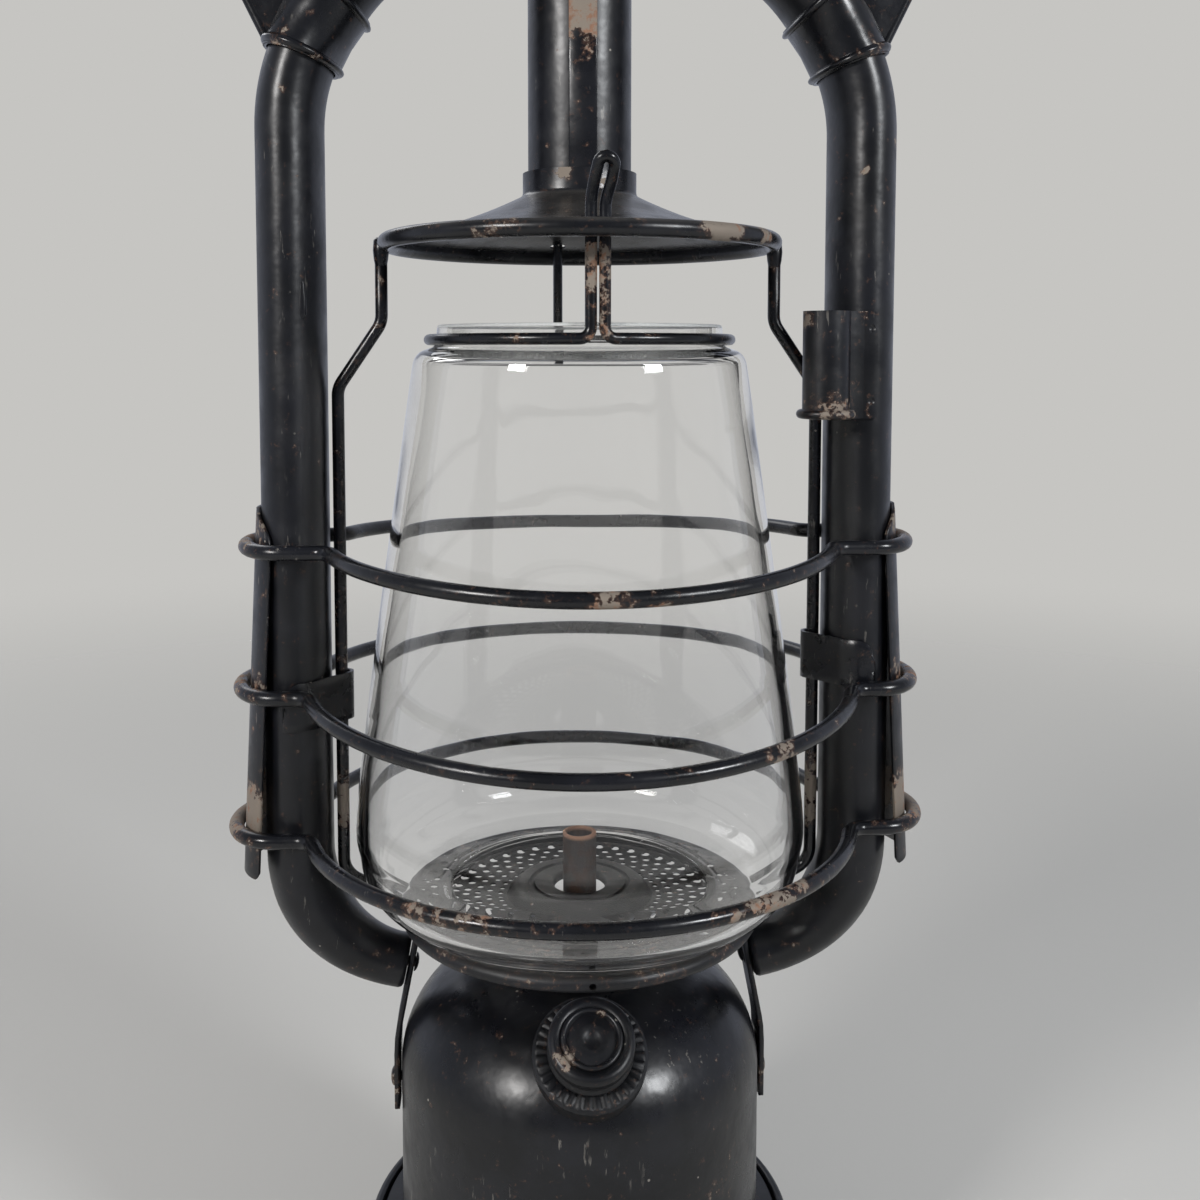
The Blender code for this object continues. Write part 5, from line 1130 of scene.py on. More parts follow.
class LANTERN_OT_straps(bpy.types.Operator):
    """Flat straps from the tank's sides to the tubes, and their domed rivets"""

    bl_idname = "lantern.straps"
    bl_label = "Straps and rivets"

    def execute(self, context):
        end_x, end_z = tube_end()
        top_z = GALLERY_Z - SHEET - FIT
        coat = enamelled("stoved_enamel_strap", 0.29, 0.67, 0.0028, 0.45, 0.0, STRAP_SPOTS)
        inward = Vector((-cos(STRAP_TILT), 0, -sin(STRAP_TILT)))
        quarter = [pi / 2 * i / 7 for i in range(6, -1, -1)]
        for side, word in SIDES:
            line = [(strap_outer_x(z), z) for z in (STRAP_FOOT_Z, STRAP_BEND_Z - STRAP_BEND)]
            for share in (i / 3 - 1 for i in range(1, 6)):
                z = STRAP_BEND_Z + STRAP_BEND * share
                line.append((strap_outer_x(max(z, STRAP_BEND_Z)) - STRAP_BEND_IN * (1 - abs(share)), z))
            line.append((strap_outer_x(top_z), top_z))
            outline = sheet_outline(line, STRAP_THICK)
            rows = []
            for share in (-1.0, STRAP_CORNER_SHARE - 1.0, 1.0 - STRAP_CORNER_SHARE, 1.0):
                low_z = STRAP_FOOT_Z + (STRAP_HALF * 0.45 if abs(share) == 1.0 else 0.0)
                rows.append([Vector((side * x, STRAP_HALF * share, max(z, low_z))) for x, z in outline])
            strap = made(f"strap_bar_{word}", loft(rows))
            eased(strap, 0.00025)
            worn(strap, coat, "frame", [f"strap_{word}"])

            foot = Vector((strap_outer_x(RIVET_FOOT_Z) + FIT, 0, RIVET_FOOT_Z))
            top = Vector((end_x, 0, end_z)) + inward * (FIT + STRAP_THICK + FIT)
            for spot, head, heading, length in (("foot", foot, Vector((-1, 0, 0)), STRAP_THICK + SHEET),
                                                ("top", top, -inward, STRAP_THICK + TUBE_END_WALL / 2)):
                dome = [(RIVET_HEAD_R * cos(a), -RIVET_HEAD * sin(a)) for a in quarter]
                rivet = lathe([(0, -RIVET_HEAD), *dome, (RIVET_R, 0), (RIVET_R, length), (0, length)], 24)
                turn = Vector((0, 0, 1)).rotation_difference(heading).to_matrix().to_4x4()
                place = Matrix.Scale(side, 4, (1, 0, 0)) @ Matrix.Translation(head) @ turn
                worn(made(f"rivet_{spot}_{word}", placed(rivet, place)), coat, "frame",
                     [f"strap_rivet_{spot}_{word}"])
        return {"FINISHED"}


def bend_point(turn):
    """A point (x, z) of a tube's upper arc and the heading there, for the right-hand side."""
    centre_x = TUBE_X - TOP_BEND_R
    return centre_x + TOP_BEND_R * cos(turn), TOP_BEND_Z + TOP_BEND_R * sin(turn), turn + pi / 2


def tube_stations(low_steps=24, high_steps=14):
    """Stations of the right-hand side tube from its pinched foot to its top."""
    last = pi / 2 - STRAP_TILT
    end_x, end_z = tube_end()
    stations = [(end_x, end_z, STRAP_TILT, TUBE_END_HALF_X, TUBE_END_HALF_Y)]
    for i in range(low_steps + 1):
        turn = last * (1 - i / low_steps)
        share = min(1.0, 1.25 * i / low_steps)
        ease = share * share * (3 - 2 * share)
        half_x = TUBE_END_HALF_X + (TUBE_HALF_X - TUBE_END_HALF_X) * ease
        half_y = TUBE_END_HALF_Y + (TUBE_HALF_Y - TUBE_END_HALF_Y) * ease
        x, z = TUBE_X - LOW_BEND_R + LOW_BEND_R * cos(turn), LOW_BEND_Z - LOW_BEND_R * sin(turn)
        stations.append((x, z, pi / 2 - turn, half_x, half_y))
    for i in range(high_steps + 1):
        stations.append((*bend_point(TUBE_TOP_ANGLE * i / high_steps), TUBE_HALF_X, TUBE_HALF_Y))
    return stations


class LANTERN_OT_side_tubes(bpy.types.Operator):
    """Two bent oval tubes, pinched shut at the foot and open at the top"""

    bl_idname = "lantern.side_tubes"
    bl_label = "Side tubes"

    def execute(self, context):
        stations = tube_stations()
        end_x, end_z, heading, half_x, half_y = stations[0]
        # The pinched end is rounded over a millimetre
        ends = []
        for share, back in ((0.82, 0.0), (0.94, 0.0004), (1.0, 0.0012)):
            ends.append((end_x + back * cos(heading), end_z + back * sin(heading), heading,
                         half_x * share, half_y * (share + 1) / 2))
        coat = enamelled("stoved_enamel_tubes", 0.35, 0.695, 0.0024, 0.40, 0.0, TUBE_SPOTS, 0.00020)
        for side, word in SIDES:
            outside = oval_rings(ends + stations[1:])
            inside = oval_rings(stations[3:], -TUBE_WALL)
            tube = made(f"tube_oval_{word}", loft(mirrored(outside + inside[::-1], side)), 40)
            worn(tube, coat, "frame", [f"side_tube_{word}"])
        x = -(TUBE_X - (TUBE_HALF_X - RUN_SINK) * cos(RUN_TURN))
        y = (TUBE_HALF_Y - RUN_SINK) * sin(RUN_TURN)
        drop = []
        for share in (0.0, 0.25, 0.5, 0.72, 0.88, 0.97, 1.0):
            swell = 0.35 + 0.65 * sin(pi * min(1.0, share * 0.62 + 0.1))
            width = RUN_HALF * swell * (1.0 if share < 0.95 else 0.6)
            drop.append([Vector((x + width * cos(a), y + width * RUN_DEPTH_SHARE * sin(a),
                                 RUN_TOP_Z - RUN_LENGTH * share)) for a in full_turn(12)])
        worn(made("enamel_run", loft(drop), 60), coat, "frame", [])
        return {"FINISHED"}


def arm_stations(steps=14):
    """Stations of the right-hand cross arm from the collar to the hood."""
    stations = []
    start = TUBE_TOP_ANGLE + ARM_GAP_ANGLE
    knee = bend_point(ARM_ARC_END)
    for i in range(steps + 1):
        turn = start + (ARM_ARC_END - start) * i / steps
        share = max(0.0, (turn - COLLAR_TO) / (ARM_ARC_END - COLLAR_TO))
        half_x = TUBE_HALF_X + (ARM_HALF_X - TUBE_HALF_X) * share
        half_y = TUBE_HALF_Y + (ARM_HALF_Y - TUBE_HALF_Y) * share
        stations.append((*bend_point(turn), half_x, half_y))
    end_x = HOOD_R - SHEET - ARM_REACH
    run = (knee[0] - end_x) / -cos(knee[2])
    stations.append((end_x, knee[1] + run * sin(knee[2]), knee[2], ARM_HALF_X, ARM_HALF_Y))
    return stations


def ear_outline():
    """The ear's outline (x, z) from the collar round the bail's pivot."""
    centre = (TUBE_X - TOP_BEND_R, TOP_BEND_Z)
    root = TOP_BEND_R + TUBE_HALF_X + FIT + COLLAR_WALL - EAR_ROOT / 2
    span = COLLAR_TO - COLLAR_FROM
    base = arc(centre, root, COLLAR_TO - span / 5, COLLAR_FROM + span / 12, 8)
    return base + arc((EAR_X, EAR_Z), EAR_R, radians(-48), radians(140), 20)


class LANTERN_OT_collars(bpy.types.Operator):
    """Top collars with rolled beads, the ears for the bail, and the hollow cross arms"""

    bl_idname = "lantern.collars"
    bl_label = "Collars, ears and arms"

    def execute(self, context):
        span = COLLAR_TO - COLLAR_FROM
        coat = enamelled("stoved_enamel_collar", 0.28, 0.675, 0.0022, 0.42, 0.0, COLLAR_SPOTS)
        profile = [(0.0, 0.0)]
        for low, high, after in COLLAR_BEAD_SHARES:
            for share in (i / 10 for i in range(11)):
                profile.append((low + (high - low) * share, COLLAR_BEAD * sin(pi * share) ** 0.7))
            profile.append((after, 0.0))
        for side, word in SIDES:
            outside, inside = [], []
            for share, bead in profile:
                station = (*bend_point(COLLAR_FROM + span * share), TUBE_HALF_X, TUBE_HALF_Y)
                outside += oval_rings([station], FIT + COLLAR_WALL + bead)
            for share in (1.0, 0.5, 0.0):
                station = (*bend_point(COLLAR_FROM + span * share), TUBE_HALF_X, TUBE_HALF_Y)
                inside += oval_rings([station], FIT)
            sleeve = made(f"collar_sleeve_{word}", loft(mirrored(outside + inside, side), closed=True), 44)
            eased(sleeve, 0.0002, 44)
            worn(sleeve, coat, "frame", [f"collar_{word}"])

            edge = ear_outline()
            plate = loft([[Vector((side * x, y, z)) for x, z in edge] for y in (-EAR_HALF, EAR_HALF)])
            rim_path = [Vector((side * x, 0, z)) for x, z in edge[8:] + edge[:1]]
            boss = bar((side * (EAR_X - BOSS_IN), 0, EAR_Z), (side * (EAR_X + BOSS_OUT), 0, EAR_Z), BOSS_R)
            ear = made(f"bail_ear_{word}", plate)
            shaped(ear, [loft(wire_rings(rim_path, EAR_RIM_R)), boss], "UNION")
            hole = bar((side * (EAR_X - BAIL_HOLE_IN), 0, EAR_Z), (side * (EAR_X + BAIL_HOLE_OUT), 0, EAR_Z),
                       BAIL_R + FIT)
            bore_at = [(*bend_point(COLLAR_FROM + span * share), TUBE_HALF_X, TUBE_HALF_Y)
                       for share in (-0.16, 0.0, 0.25, 0.5, 0.75, 1.0, 1.16)]
            shaped(ear, [hole, loft(mirrored(oval_rings(bore_at, FIT), side))])
            worn(ear, coat, "frame", [f"collar_{word}"])

            rings = oval_rings(arm_stations()) + oval_rings(arm_stations(), -TUBE_WALL)[::-1]
            arm = made(f"arm_tube_{word}", loft(mirrored(rings, side), closed=True), 40)
            worn(arm, enamelled("stoved_enamel_tubes"), "frame", [f"arm_{word}"])
        return {"FINISHED"}


class LANTERN_OT_bail(bpy.types.Operator):
    """Bail: one round wire, its ends turned in through the ears"""

    bl_idname = "lantern.bail"
    bl_label = "Bail"

    def execute(self, context):
        half = EAR_X + BOSS_OUT + BAIL_GAP + BAIL_R
        corners = [(BAIL_HOOK - EAR_X, 0, EAR_Z), (-half, 0, EAR_Z), (-half, 0, BAIL_LEG_Z)]
        path = rounded(corners, BAIL_CORNER_R)
        rise = BAIL_TOP_Z - BAIL_R - BAIL_LEG_Z
        steps = 72
        arch = [Vector((-half * cos(pi * i / steps), 0, BAIL_LEG_Z + rise * sin(pi * i / steps)))
                for i in range(1, steps)]
        path = path + arch + [Vector((-p.x, p.y, p.z)) for p in reversed(path)]
        bail = made("bail_wire", blunt_wire(path, BAIL_R), 60)
        worn(bail, enamelled("enamelled_wire_bail", 0.30, 0.67, 0.0025, 0.45, 0.0, BAIL_SPOTS),
             "bail", ["bail"])
        return {"FINISHED"}


class LANTERN_OT_hood(bpy.types.Operator):
    """Hood: drum with the chimney's sleeve, and the domed cover with round vents"""

    bl_idname = "lantern.hood"
    bl_label = "Hood and cover"

    def execute(self, context):
        slope_z = HOOD_FOOT_Z + HOOD_SLOPE
        drum = [(SLEEVE_R, HOOD_FOOT_Z), (SLEEVE_R + SHEET, HOOD_FOOT_Z), (HOOD_R - SHEET, slope_z)]
        drum += arc((HOOD_R - SHEET, slope_z + SHEET), SHEET, -pi / 4, 0, 3)
        drum += [(HOOD_R, HOOD_WALL_TOP_Z), (HOOD_R - SHEET, HOOD_WALL_TOP_Z)]
        drum += [(HOOD_R - SHEET, slope_z + SHEET), (SLEEVE_R + SHEET, HOOD_FOOT_Z + SHEET)]
        drum += [(SLEEVE_R + SHEET, SLEEVE_TOP_Z), (SLEEVE_R, SLEEVE_TOP_Z)]
        coat = enamelled("stoved_enamel_hood", 0.34, 0.68, 0.003, 0.35, 0.12)
        hood = made("hood_drum", lathe(drum))
        stations = arm_stations()
        x, z, heading, half_x, half_y = stations[-1]
        reach = ARM_REACH + CUT_OVERRUN
        holes = []
        for side in (-1, 1):
            near_end = (x + reach * cos(heading), z + reach * sin(heading), heading, half_x, half_y)
            far_end = (x - 2 * reach * cos(heading), z - 2 * reach * sin(heading), heading, half_x, half_y)
            holes.append(loft(mirrored(oval_rings([near_end, far_end], FIT / 2), side)))
        shaped(hood, holes)
        worn(hood, coat, "frame", ["hood"])

        cover_r = HOOD_R + FIT + SHEET
        wall_top = COVER_FOOT_Z + COVER_WALL
        turns = [1.35 * i / 16 for i in range(17)]
        bead = arc((cover_r - 0.0001, COVER_FOOT_Z + COVER_BEAD), COVER_BEAD, -pi / 2, pi / 2, 8)
        outside = bead + [(cover_r * cos(a), wall_top + COVER_RISE * sin(a)) for a in turns]
        inside = [((cover_r - SHEET) * cos(a), wall_top + (COVER_RISE - SHEET) * sin(a)) for a in turns]
        outline = outside + [(0, wall_top + COVER_RISE), (0, wall_top + COVER_RISE - SHEET)] + inside[::-1]
        cover = made("hood_dome", lathe(outline + [(cover_r - SHEET, COVER_FOOT_Z)]))
        centre = Vector((0, 0, (wall_top + HOOD_WALL_TOP_Z) / 2 + VENT_R))
        vents = []
        for i in range(VENTS // 2):
            turn = pi * (i + 0.5) / (VENTS // 2)
            reach = Vector((cos(turn), sin(turn), 0)) * (cover_r + CUT_OVERRUN)
            vents.append(bar(centre - reach, centre + reach, VENT_R))
        shaped(cover, vents)
        worn(cover, coat, "frame", ["hood_cover"])
        return {"FINISHED"}


def strip_lean(z):
    """How far a guard strip stands off the tube at a height, beyond its fit."""
    return (STRIP_TOP_Z - z) * STRIP_LEAN_SHARE


def guard_path(strand_z, ring_r, droop_front, droop_back):
    """One ring: arcs in front and behind, and a loop round each tube and its strip."""
    half_x = TUBE_HALF_X + FIT + SHEET + FIT + GUARD_R
    half_y = TUBE_HALF_Y + FIT + SHEET + FIT + GUARD_R
    centre_x = TUBE_X + strip_lean(strand_z)
    fillet_y = half_y + GUARD_BEND_R
    fillet_x = sqrt((ring_r + GUARD_BEND_R) ** 2 - fillet_y ** 2)
    turn = atan2(-fillet_y, fillet_x)
    quarter = arc((0, 0), ring_r, -pi / 2, turn, 24)
    quarter += arc((fillet_x, -fillet_y), GUARD_BEND_R, turn + pi, pi / 2, 8)[1:]
    turns = [-pi / 2 * i / 16 for i in range(16, -1, -1)]
    quarter += [(centre_x + half_x * cos(a), half_y * sin(a)) for a in turns]
    right = quarter + [(x, -y) for x, y in quarter[-2::-1]]
    flat = right + [(-x, y) for x, y in right[-2:0:-1]]
    path = []
    for x, y in flat:
        droop = droop_front if y < 0 else droop_back
        path.append(Vector((x, y, strand_z - droop * (y / ring_r) ** 2)))
    return path


def even(path, gap, closed=False):
    """The path with its points about gap apart, so that none is doubled."""
    points = path + path[:1] if closed else path
    kept = [points[0]]
    for point in points[1:]:
        if (point - kept[-1]).length > gap:
            kept.append(point)
    if closed and (kept[-1] - kept[0]).length < gap:
        kept.pop()
    return kept


class LANTERN_OT_guards(bpy.types.Operator):
    """Guard rings round the globe, and the gutter-shaped strips that they are brazed to"""

    bl_idname = "lantern.guards"
    bl_label = "Guard rings and strips"

    def execute(self, context):
        coat = enamelled("enamelled_wire_guard", 0.25, 0.672, 0.0024, 0.44, 0.0, RING_SPOTS, 0.00020)
        for i, (word, ring_share, front_share, back_share) in enumerate(GUARD_RING_SHARES):
            strand_z = GUARD_TOP_Z - i * GUARD_PITCH
            ring_r = ring_share * (GLOBE_R + GUARD_STANDOFF)
            path = guard_path(strand_z, ring_r, front_share * GUARD_PITCH, back_share * GUARD_PITCH)
            path = even(path, 0.0006, True)
            ring = made(f"guard_wire_{word}", loft(wire_rings(path, GUARD_R, 16, True), closed=True), 60)
            worn(ring, coat, "frame", [f"guard_ring_{word}"])

        coat = enamelled("stoved_enamel_strip", 0.36, 0.665, 0.0022, 0.42, 0.0, STRIP_SPOTS)
        shoulder_z = STRIP_TOP_Z - STRIP_SHOULDER
        rows = [(STRIP_FOOT_Z, 0.9), (STRIP_FOOT_Z + 0.0015, 1.0), (shoulder_z, 1.0)]
        rows += [(shoulder_z + STRIP_SHOULDER * s, 1.0 - 0.8 * s ** 1.8) for s in (0.2, 0.4, 0.6, 0.8, 1.0)]
        steps = 24
        for side, word in SIDES:
            rings = []
            for z, wrap_share in rows:
                turns = [STRIP_WRAP * wrap_share * (2 * i / steps - 1) for i in range(steps + 1)]
                centre_x = TUBE_X + strip_lean(z)
                ring = []
                for grow, order in ((FIT + SHEET, turns), (FIT, turns[::-1])):
                    for turn in order:
                        x = centre_x + (TUBE_HALF_X + grow) * cos(turn)
                        ring.append(Vector((side * x, (TUBE_HALF_Y + grow) * sin(turn), z)))
                rings.append(ring)
            strip = made(f"guard_gutter_{word}", loft(rings), 50)
            eased(strip, 0.0002, 50)
            worn(strip, coat, "frame", [f"guard_strip_{word}"])
        return {"FINISHED"}


class LANTERN_OT_chimney(bpy.types.Operator):
    """Chimney tube with the lapped seam strip on its front"""

    bl_idname = "lantern.chimney"
    bl_label = "Chimney tube"

    def execute(self, context):
        inside_r = CHIMNEY_R - SHEET
        tube = made("chimney_pipe", lathe([(inside_r, CHIMNEY_FOOT_Z), (CHIMNEY_R, CHIMNEY_FOOT_Z),
                                           (CHIMNEY_R, CHIMNEY_TOP_Z), (inside_r, CHIMNEY_TOP_Z)]))
        worn(tube, enamelled("stoved_enamel_chimney", 0.31, 0.70, 0.0024, 0.45), "globe_carriage",
             ["chimney_tube"])
        ends = (-pi / 2 - SEAM_HALF, -pi / 2 + SEAM_HALF)
        outside = arc((0, 0), CHIMNEY_R + SEAM_RISE, *ends, 16)
        inside = arc((0, 0), CHIMNEY_R - SHEET / 2, *ends[::-1], 16)
        strip = made("chimney_seam", prism(outside + inside, CHIMNEY_FOOT_Z, CHIMNEY_TOP_Z), 50)
        eased(strip, 0.00015, 50)
        worn(strip, enamelled("stoved_enamel_seam", 0.26, 0.680, 0.0026, 0.50, 0.0, SEAM_SPOTS),
             "globe_carriage", ["chimney_tube"])
        return {"FINISHED"}


def rolled_edge(centre, radius):
    """The outside of a rolled rim, from the sheet's underside round to its top."""
    return arc(centre, radius, radians(175), radians(470), 20)


class LANTERN_OT_globe_plate(bpy.types.Operator):
    """Dished plate over the globe, with its neck band, rolled rim, slot and back hole"""

    bl_idname = "lantern.globe_plate"
    bl_label = "Globe plate"

    def execute(self, context):
        neck_r = CHIMNEY_R + SEAM_RISE + FIT
        edge_r = PLATE_RIM_R - PLATE_ROLL_R
        edge_z = PLATE_RIM_Z + PLATE_ROLL_R * 0.6
        foot_z, curl = PLATE_NECK_FOOT_Z, PLATE_NECK_CURL
        under = [(neck_r, PLATE_NECK_TOP_Z), (neck_r, foot_z + curl * 1.75)]
        under += [(neck_r + curl / 4, foot_z + curl * 0.75)]
        for share in (i / 24 for i in range(25)):
            height = edge_z + (foot_z - edge_z) * (1 - share) ** PLATE_DISH_POWER
            under.append((neck_r + curl + (edge_r - neck_r - curl) * share, height))
        over = offset_line(under, PLATE_SHEET)[::-1]
        outline = under + rolled_edge((PLATE_RIM_R, PLATE_RIM_Z), PLATE_ROLL_R) + over
        plate = made("dished_plate", lathe(outline, 128), 40)
        reach = RETAINER_R + SLIDE_FIT
        low, high = RETAINER_TWIN_X - reach, RETAINER_TWIN_X + RETAINER_TWIN_GAP + reach
        front, back = -RETAINER_RING_R - SLOT_HALF_Y, -RETAINER_RING_R + SLOT_HALF_Y
        slot = prism([(low, front), (high, front), (high, back), (low, back)], PLATE_RIM_Z, PLATE_SLOT_TOP_Z)
        ends = [(RETAINER_BACK_X, RETAINER_RING_R, z) for z in (PLATE_RIM_Z, PLATE_SLOT_TOP_Z)]
        shaped(plate, [slot, bar(*ends, BACK_HOLE_R)], sharp=40)
        worn(plate, enamelled("stoved_enamel_plate", 0.27, 0.680, 0.0026, 0.40, 0.09, PLATE_SPOTS),
             "globe_carriage", ["globe_plate"])
        return {"FINISHED"}


def gallery_rim():
    """Centre (radius, height) of the gallery's rolled rim."""
    return GALLERY_RIM_R, GALLERY_Z - GALLERY_ROLL_R


class LANTERN_OT_lift_wires(bpy.types.Operator):
    """Two wires from the plate's rim down to the gallery's rim, kinked outwards at the top"""

    bl_idname = "lantern.lift_wires"
    bl_label = "Lift wires"

    def execute(self, context):
        rim_r, rim_z = gallery_rim()
        reach = GALLERY_ROLL_R + FIT
        toe = (rim_r + reach * cos(LIFT_TOE), rim_z + reach * sin(LIFT_TOE))
        knee_z = toe[1] + (LIFT_X - toe[0]) * tan(LIFT_TOE)
        coat = enamelled("enamelled_wire_lift", 0.27, 0.672, 0.0020, 0.36, 0.0, LIFT_SPOTS, 0.00018)
        for side, word in SIDES:
            corners = [(LIFT_TOP_X, PLATE_RIM_Z), (LIFT_TOP_X, LIFT_KINK_TOP_Z), (LIFT_X, LIFT_KINK_FOOT_Z),
                       (LIFT_X, knee_z), toe]
            path = even(rounded([(side * x, 0, z) for x, z in corners], LIFT_BEND_R, 12), 0.0005)
            wire = made(f"lift_rod_{word}", blunt_wire(path, LIFT_R), 60)
            worn(wire, coat, "globe_carriage", [f"lift_wire_{word}"])
            # The wire's top is brazed to the outside of the rolled rim
            rows = []
            for rise, share in LUG_ROWS:
                half_x, half_y, z = LUG_HALF_X * share, LUG_HALF_Y * share, PLATE_RIM_Z + rise
                rows.append([Vector((side * (LIFT_TOP_X + half_x * cos(a)), half_y * sin(a), z))
                             for a in full_turn(20)])
            worn(made(f"braze_lug_{word}", loft(rows), 50), coat, "globe_carriage", [f"lift_wire_{word}"])
        return {"FINISHED"}


class LANTERN_OT_gallery(bpy.types.Operator):
    """Gallery: plate drilled with fine holes, a raised cup with a groove, and a rolled rim"""

    bl_idname = "lantern.gallery"
    bl_label = "Perforated gallery"

    def execute(self, context):
        sizes = context.scene.lantern_sizes
        flat = GALLERY_Z - GALLERY_SHEET
        high = flat + CUP_RISE
        under = [(GALLERY_HOLE_R, high - CUP_LIP)]
        under += [(GALLERY_HOLE_R + CUP_LIP * (1 - cos(a)), high - CUP_LIP * (1 - sin(a)))
                  for a in (pi / 2 * i / 5 for i in range(1, 6))]
        under += [(CUP_GROOVE_R + CUP_GROOVE * cos(a) * 1.1, high - CUP_GROOVE * sin(a) * 0.9)
                  for a in (pi - pi * i / 8 for i in range(9))]
        under += [(CUP_R - 3 * CUP_LIP, high), (CUP_R - 2.2 * CUP_LIP, high - CUP_LIP / 6)]
        under += [(CUP_R - 1.2 * CUP_LIP, high - CUP_RISE * 0.35)]
        under += [(CUP_R - 0.6 * CUP_LIP, flat + CUP_RISE * 0.22), (CUP_R, flat)]
        under += [(SEAT_R + SEAT_HALF * 2 * cos(a), flat + SEAT_RISE * sin(a)) for a in
                  (pi - pi * i / 6 for i in range(7))]
        rim_r, rim_z = gallery_rim()
        under += [(rim_r - GALLERY_ROLL_R, flat)]
        outline = under + rolled_edge((rim_r, rim_z), GALLERY_ROLL_R)
        outline += offset_line(under, GALLERY_SHEET)[::-1]
        plate = made("drilled_gallery", lathe(outline, 120), 44)
        holes = bmesh.new()
        rows = []
        for share in (i / (sizes.hole_rows - 1) for i in range(sizes.hole_rows)):
            row_r = PERFORATION_IN_R + (PERFORATION_OUT_R - PERFORATION_IN_R) * share
            rows.append((row_r, sizes.holes, sizes.hole * (0.75 + 0.40 * share)))
        rows += [(BAND_IN_R, BAND_HOLES, sizes.band_hole * 0.85), (BAND_OUT_R, BAND_HOLES, sizes.band_hole)]
        low_z, high_z = flat - PERFORATION_OVERRUN, GALLERY_Z + PERFORATION_OVERRUN
        for row, (row_r, number, hole_r) in enumerate(rows):
            for i in range(number):
                turn = 2 * pi * (i + PERFORATION_TURN_SHARE + (row % 2) / 2) / number
                spot = arc((row_r * cos(turn), row_r * sin(turn)), hole_r, turn, turn + 2 * pi * 11 / 12, 11)
                prism(spot, low_z, high_z, holes)
        front_y = -rim_r - GALLERY_ROLL_R - PERFORATION_OVERRUN
        drilled = bar((0, front_y, rim_z), (0, -rim_r, rim_z), RIM_HOLE_R, 20)
        shaped(plate, [holes, drilled], sharp=44)
        worn(plate, enamelled("stoved_enamel_gallery", 0.44, 0.670, 0.0022, 0.44, 0.04, GALLERY_SPOTS),
             "globe_carriage", ["gallery"])

        gas = lathe([(PIPE_R - PIPE_WALL, FLOOR_Z - PIPE_FOOT), (PIPE_R, FLOOR_Z - PIPE_FOOT),
                     (PIPE_R, PIPE_TOP_Z), (PIPE_R - PIPE_WALL, PIPE_TOP_Z)], 48)
        pipe = made("gas_pipe_tube", gas)
        eased(pipe, 0.0002)
        worn(pipe, rusty_steel(), "frame", ["gas_pipe"])
        return {"FINISHED"}


class LANTERN_OT_globe(bpy.types.Operator):
    """Globe: clear glass with a tapering barrel, rolled neck and a ground top edge"""

    bl_idname = "lantern.globe"
    bl_label = "Globe"

    def execute(self, context):
        foot_z = GALLERY_Z + SEAT_RISE + FIT
        points = [(r * GLOBE_R, 0, foot_z + h * GLOBE_HEIGHT) for r, h in GLOBE_OUTLINE_SHARES]
        foot = [(p[0], p[2]) for p in points[:2]]
        barrel = [(p.x, p.z) for p in smooth_line(points[1:11], 5)]
        neck = [(p.x, p.z) for p in smooth_line(points[10:], 4)][1:]
        outside = foot[:1] + barrel + neck
        globe = made("glass_barrel", lathe(sheet_outline(outside, GLASS), 128), 60)
        eased(globe, 0.0005, 50)
        worn(globe, blown_glass(), "globe_carriage", ["globe"])
        globe.data.materials.append(ground_glass())
        top_z = foot_z + GLOBE_HEIGHT
        for face in globe.data.polygons:
            if face.center.z > top_z - GROUND_EDGE:
                face.material_index = 1
        return {"FINISHED"}


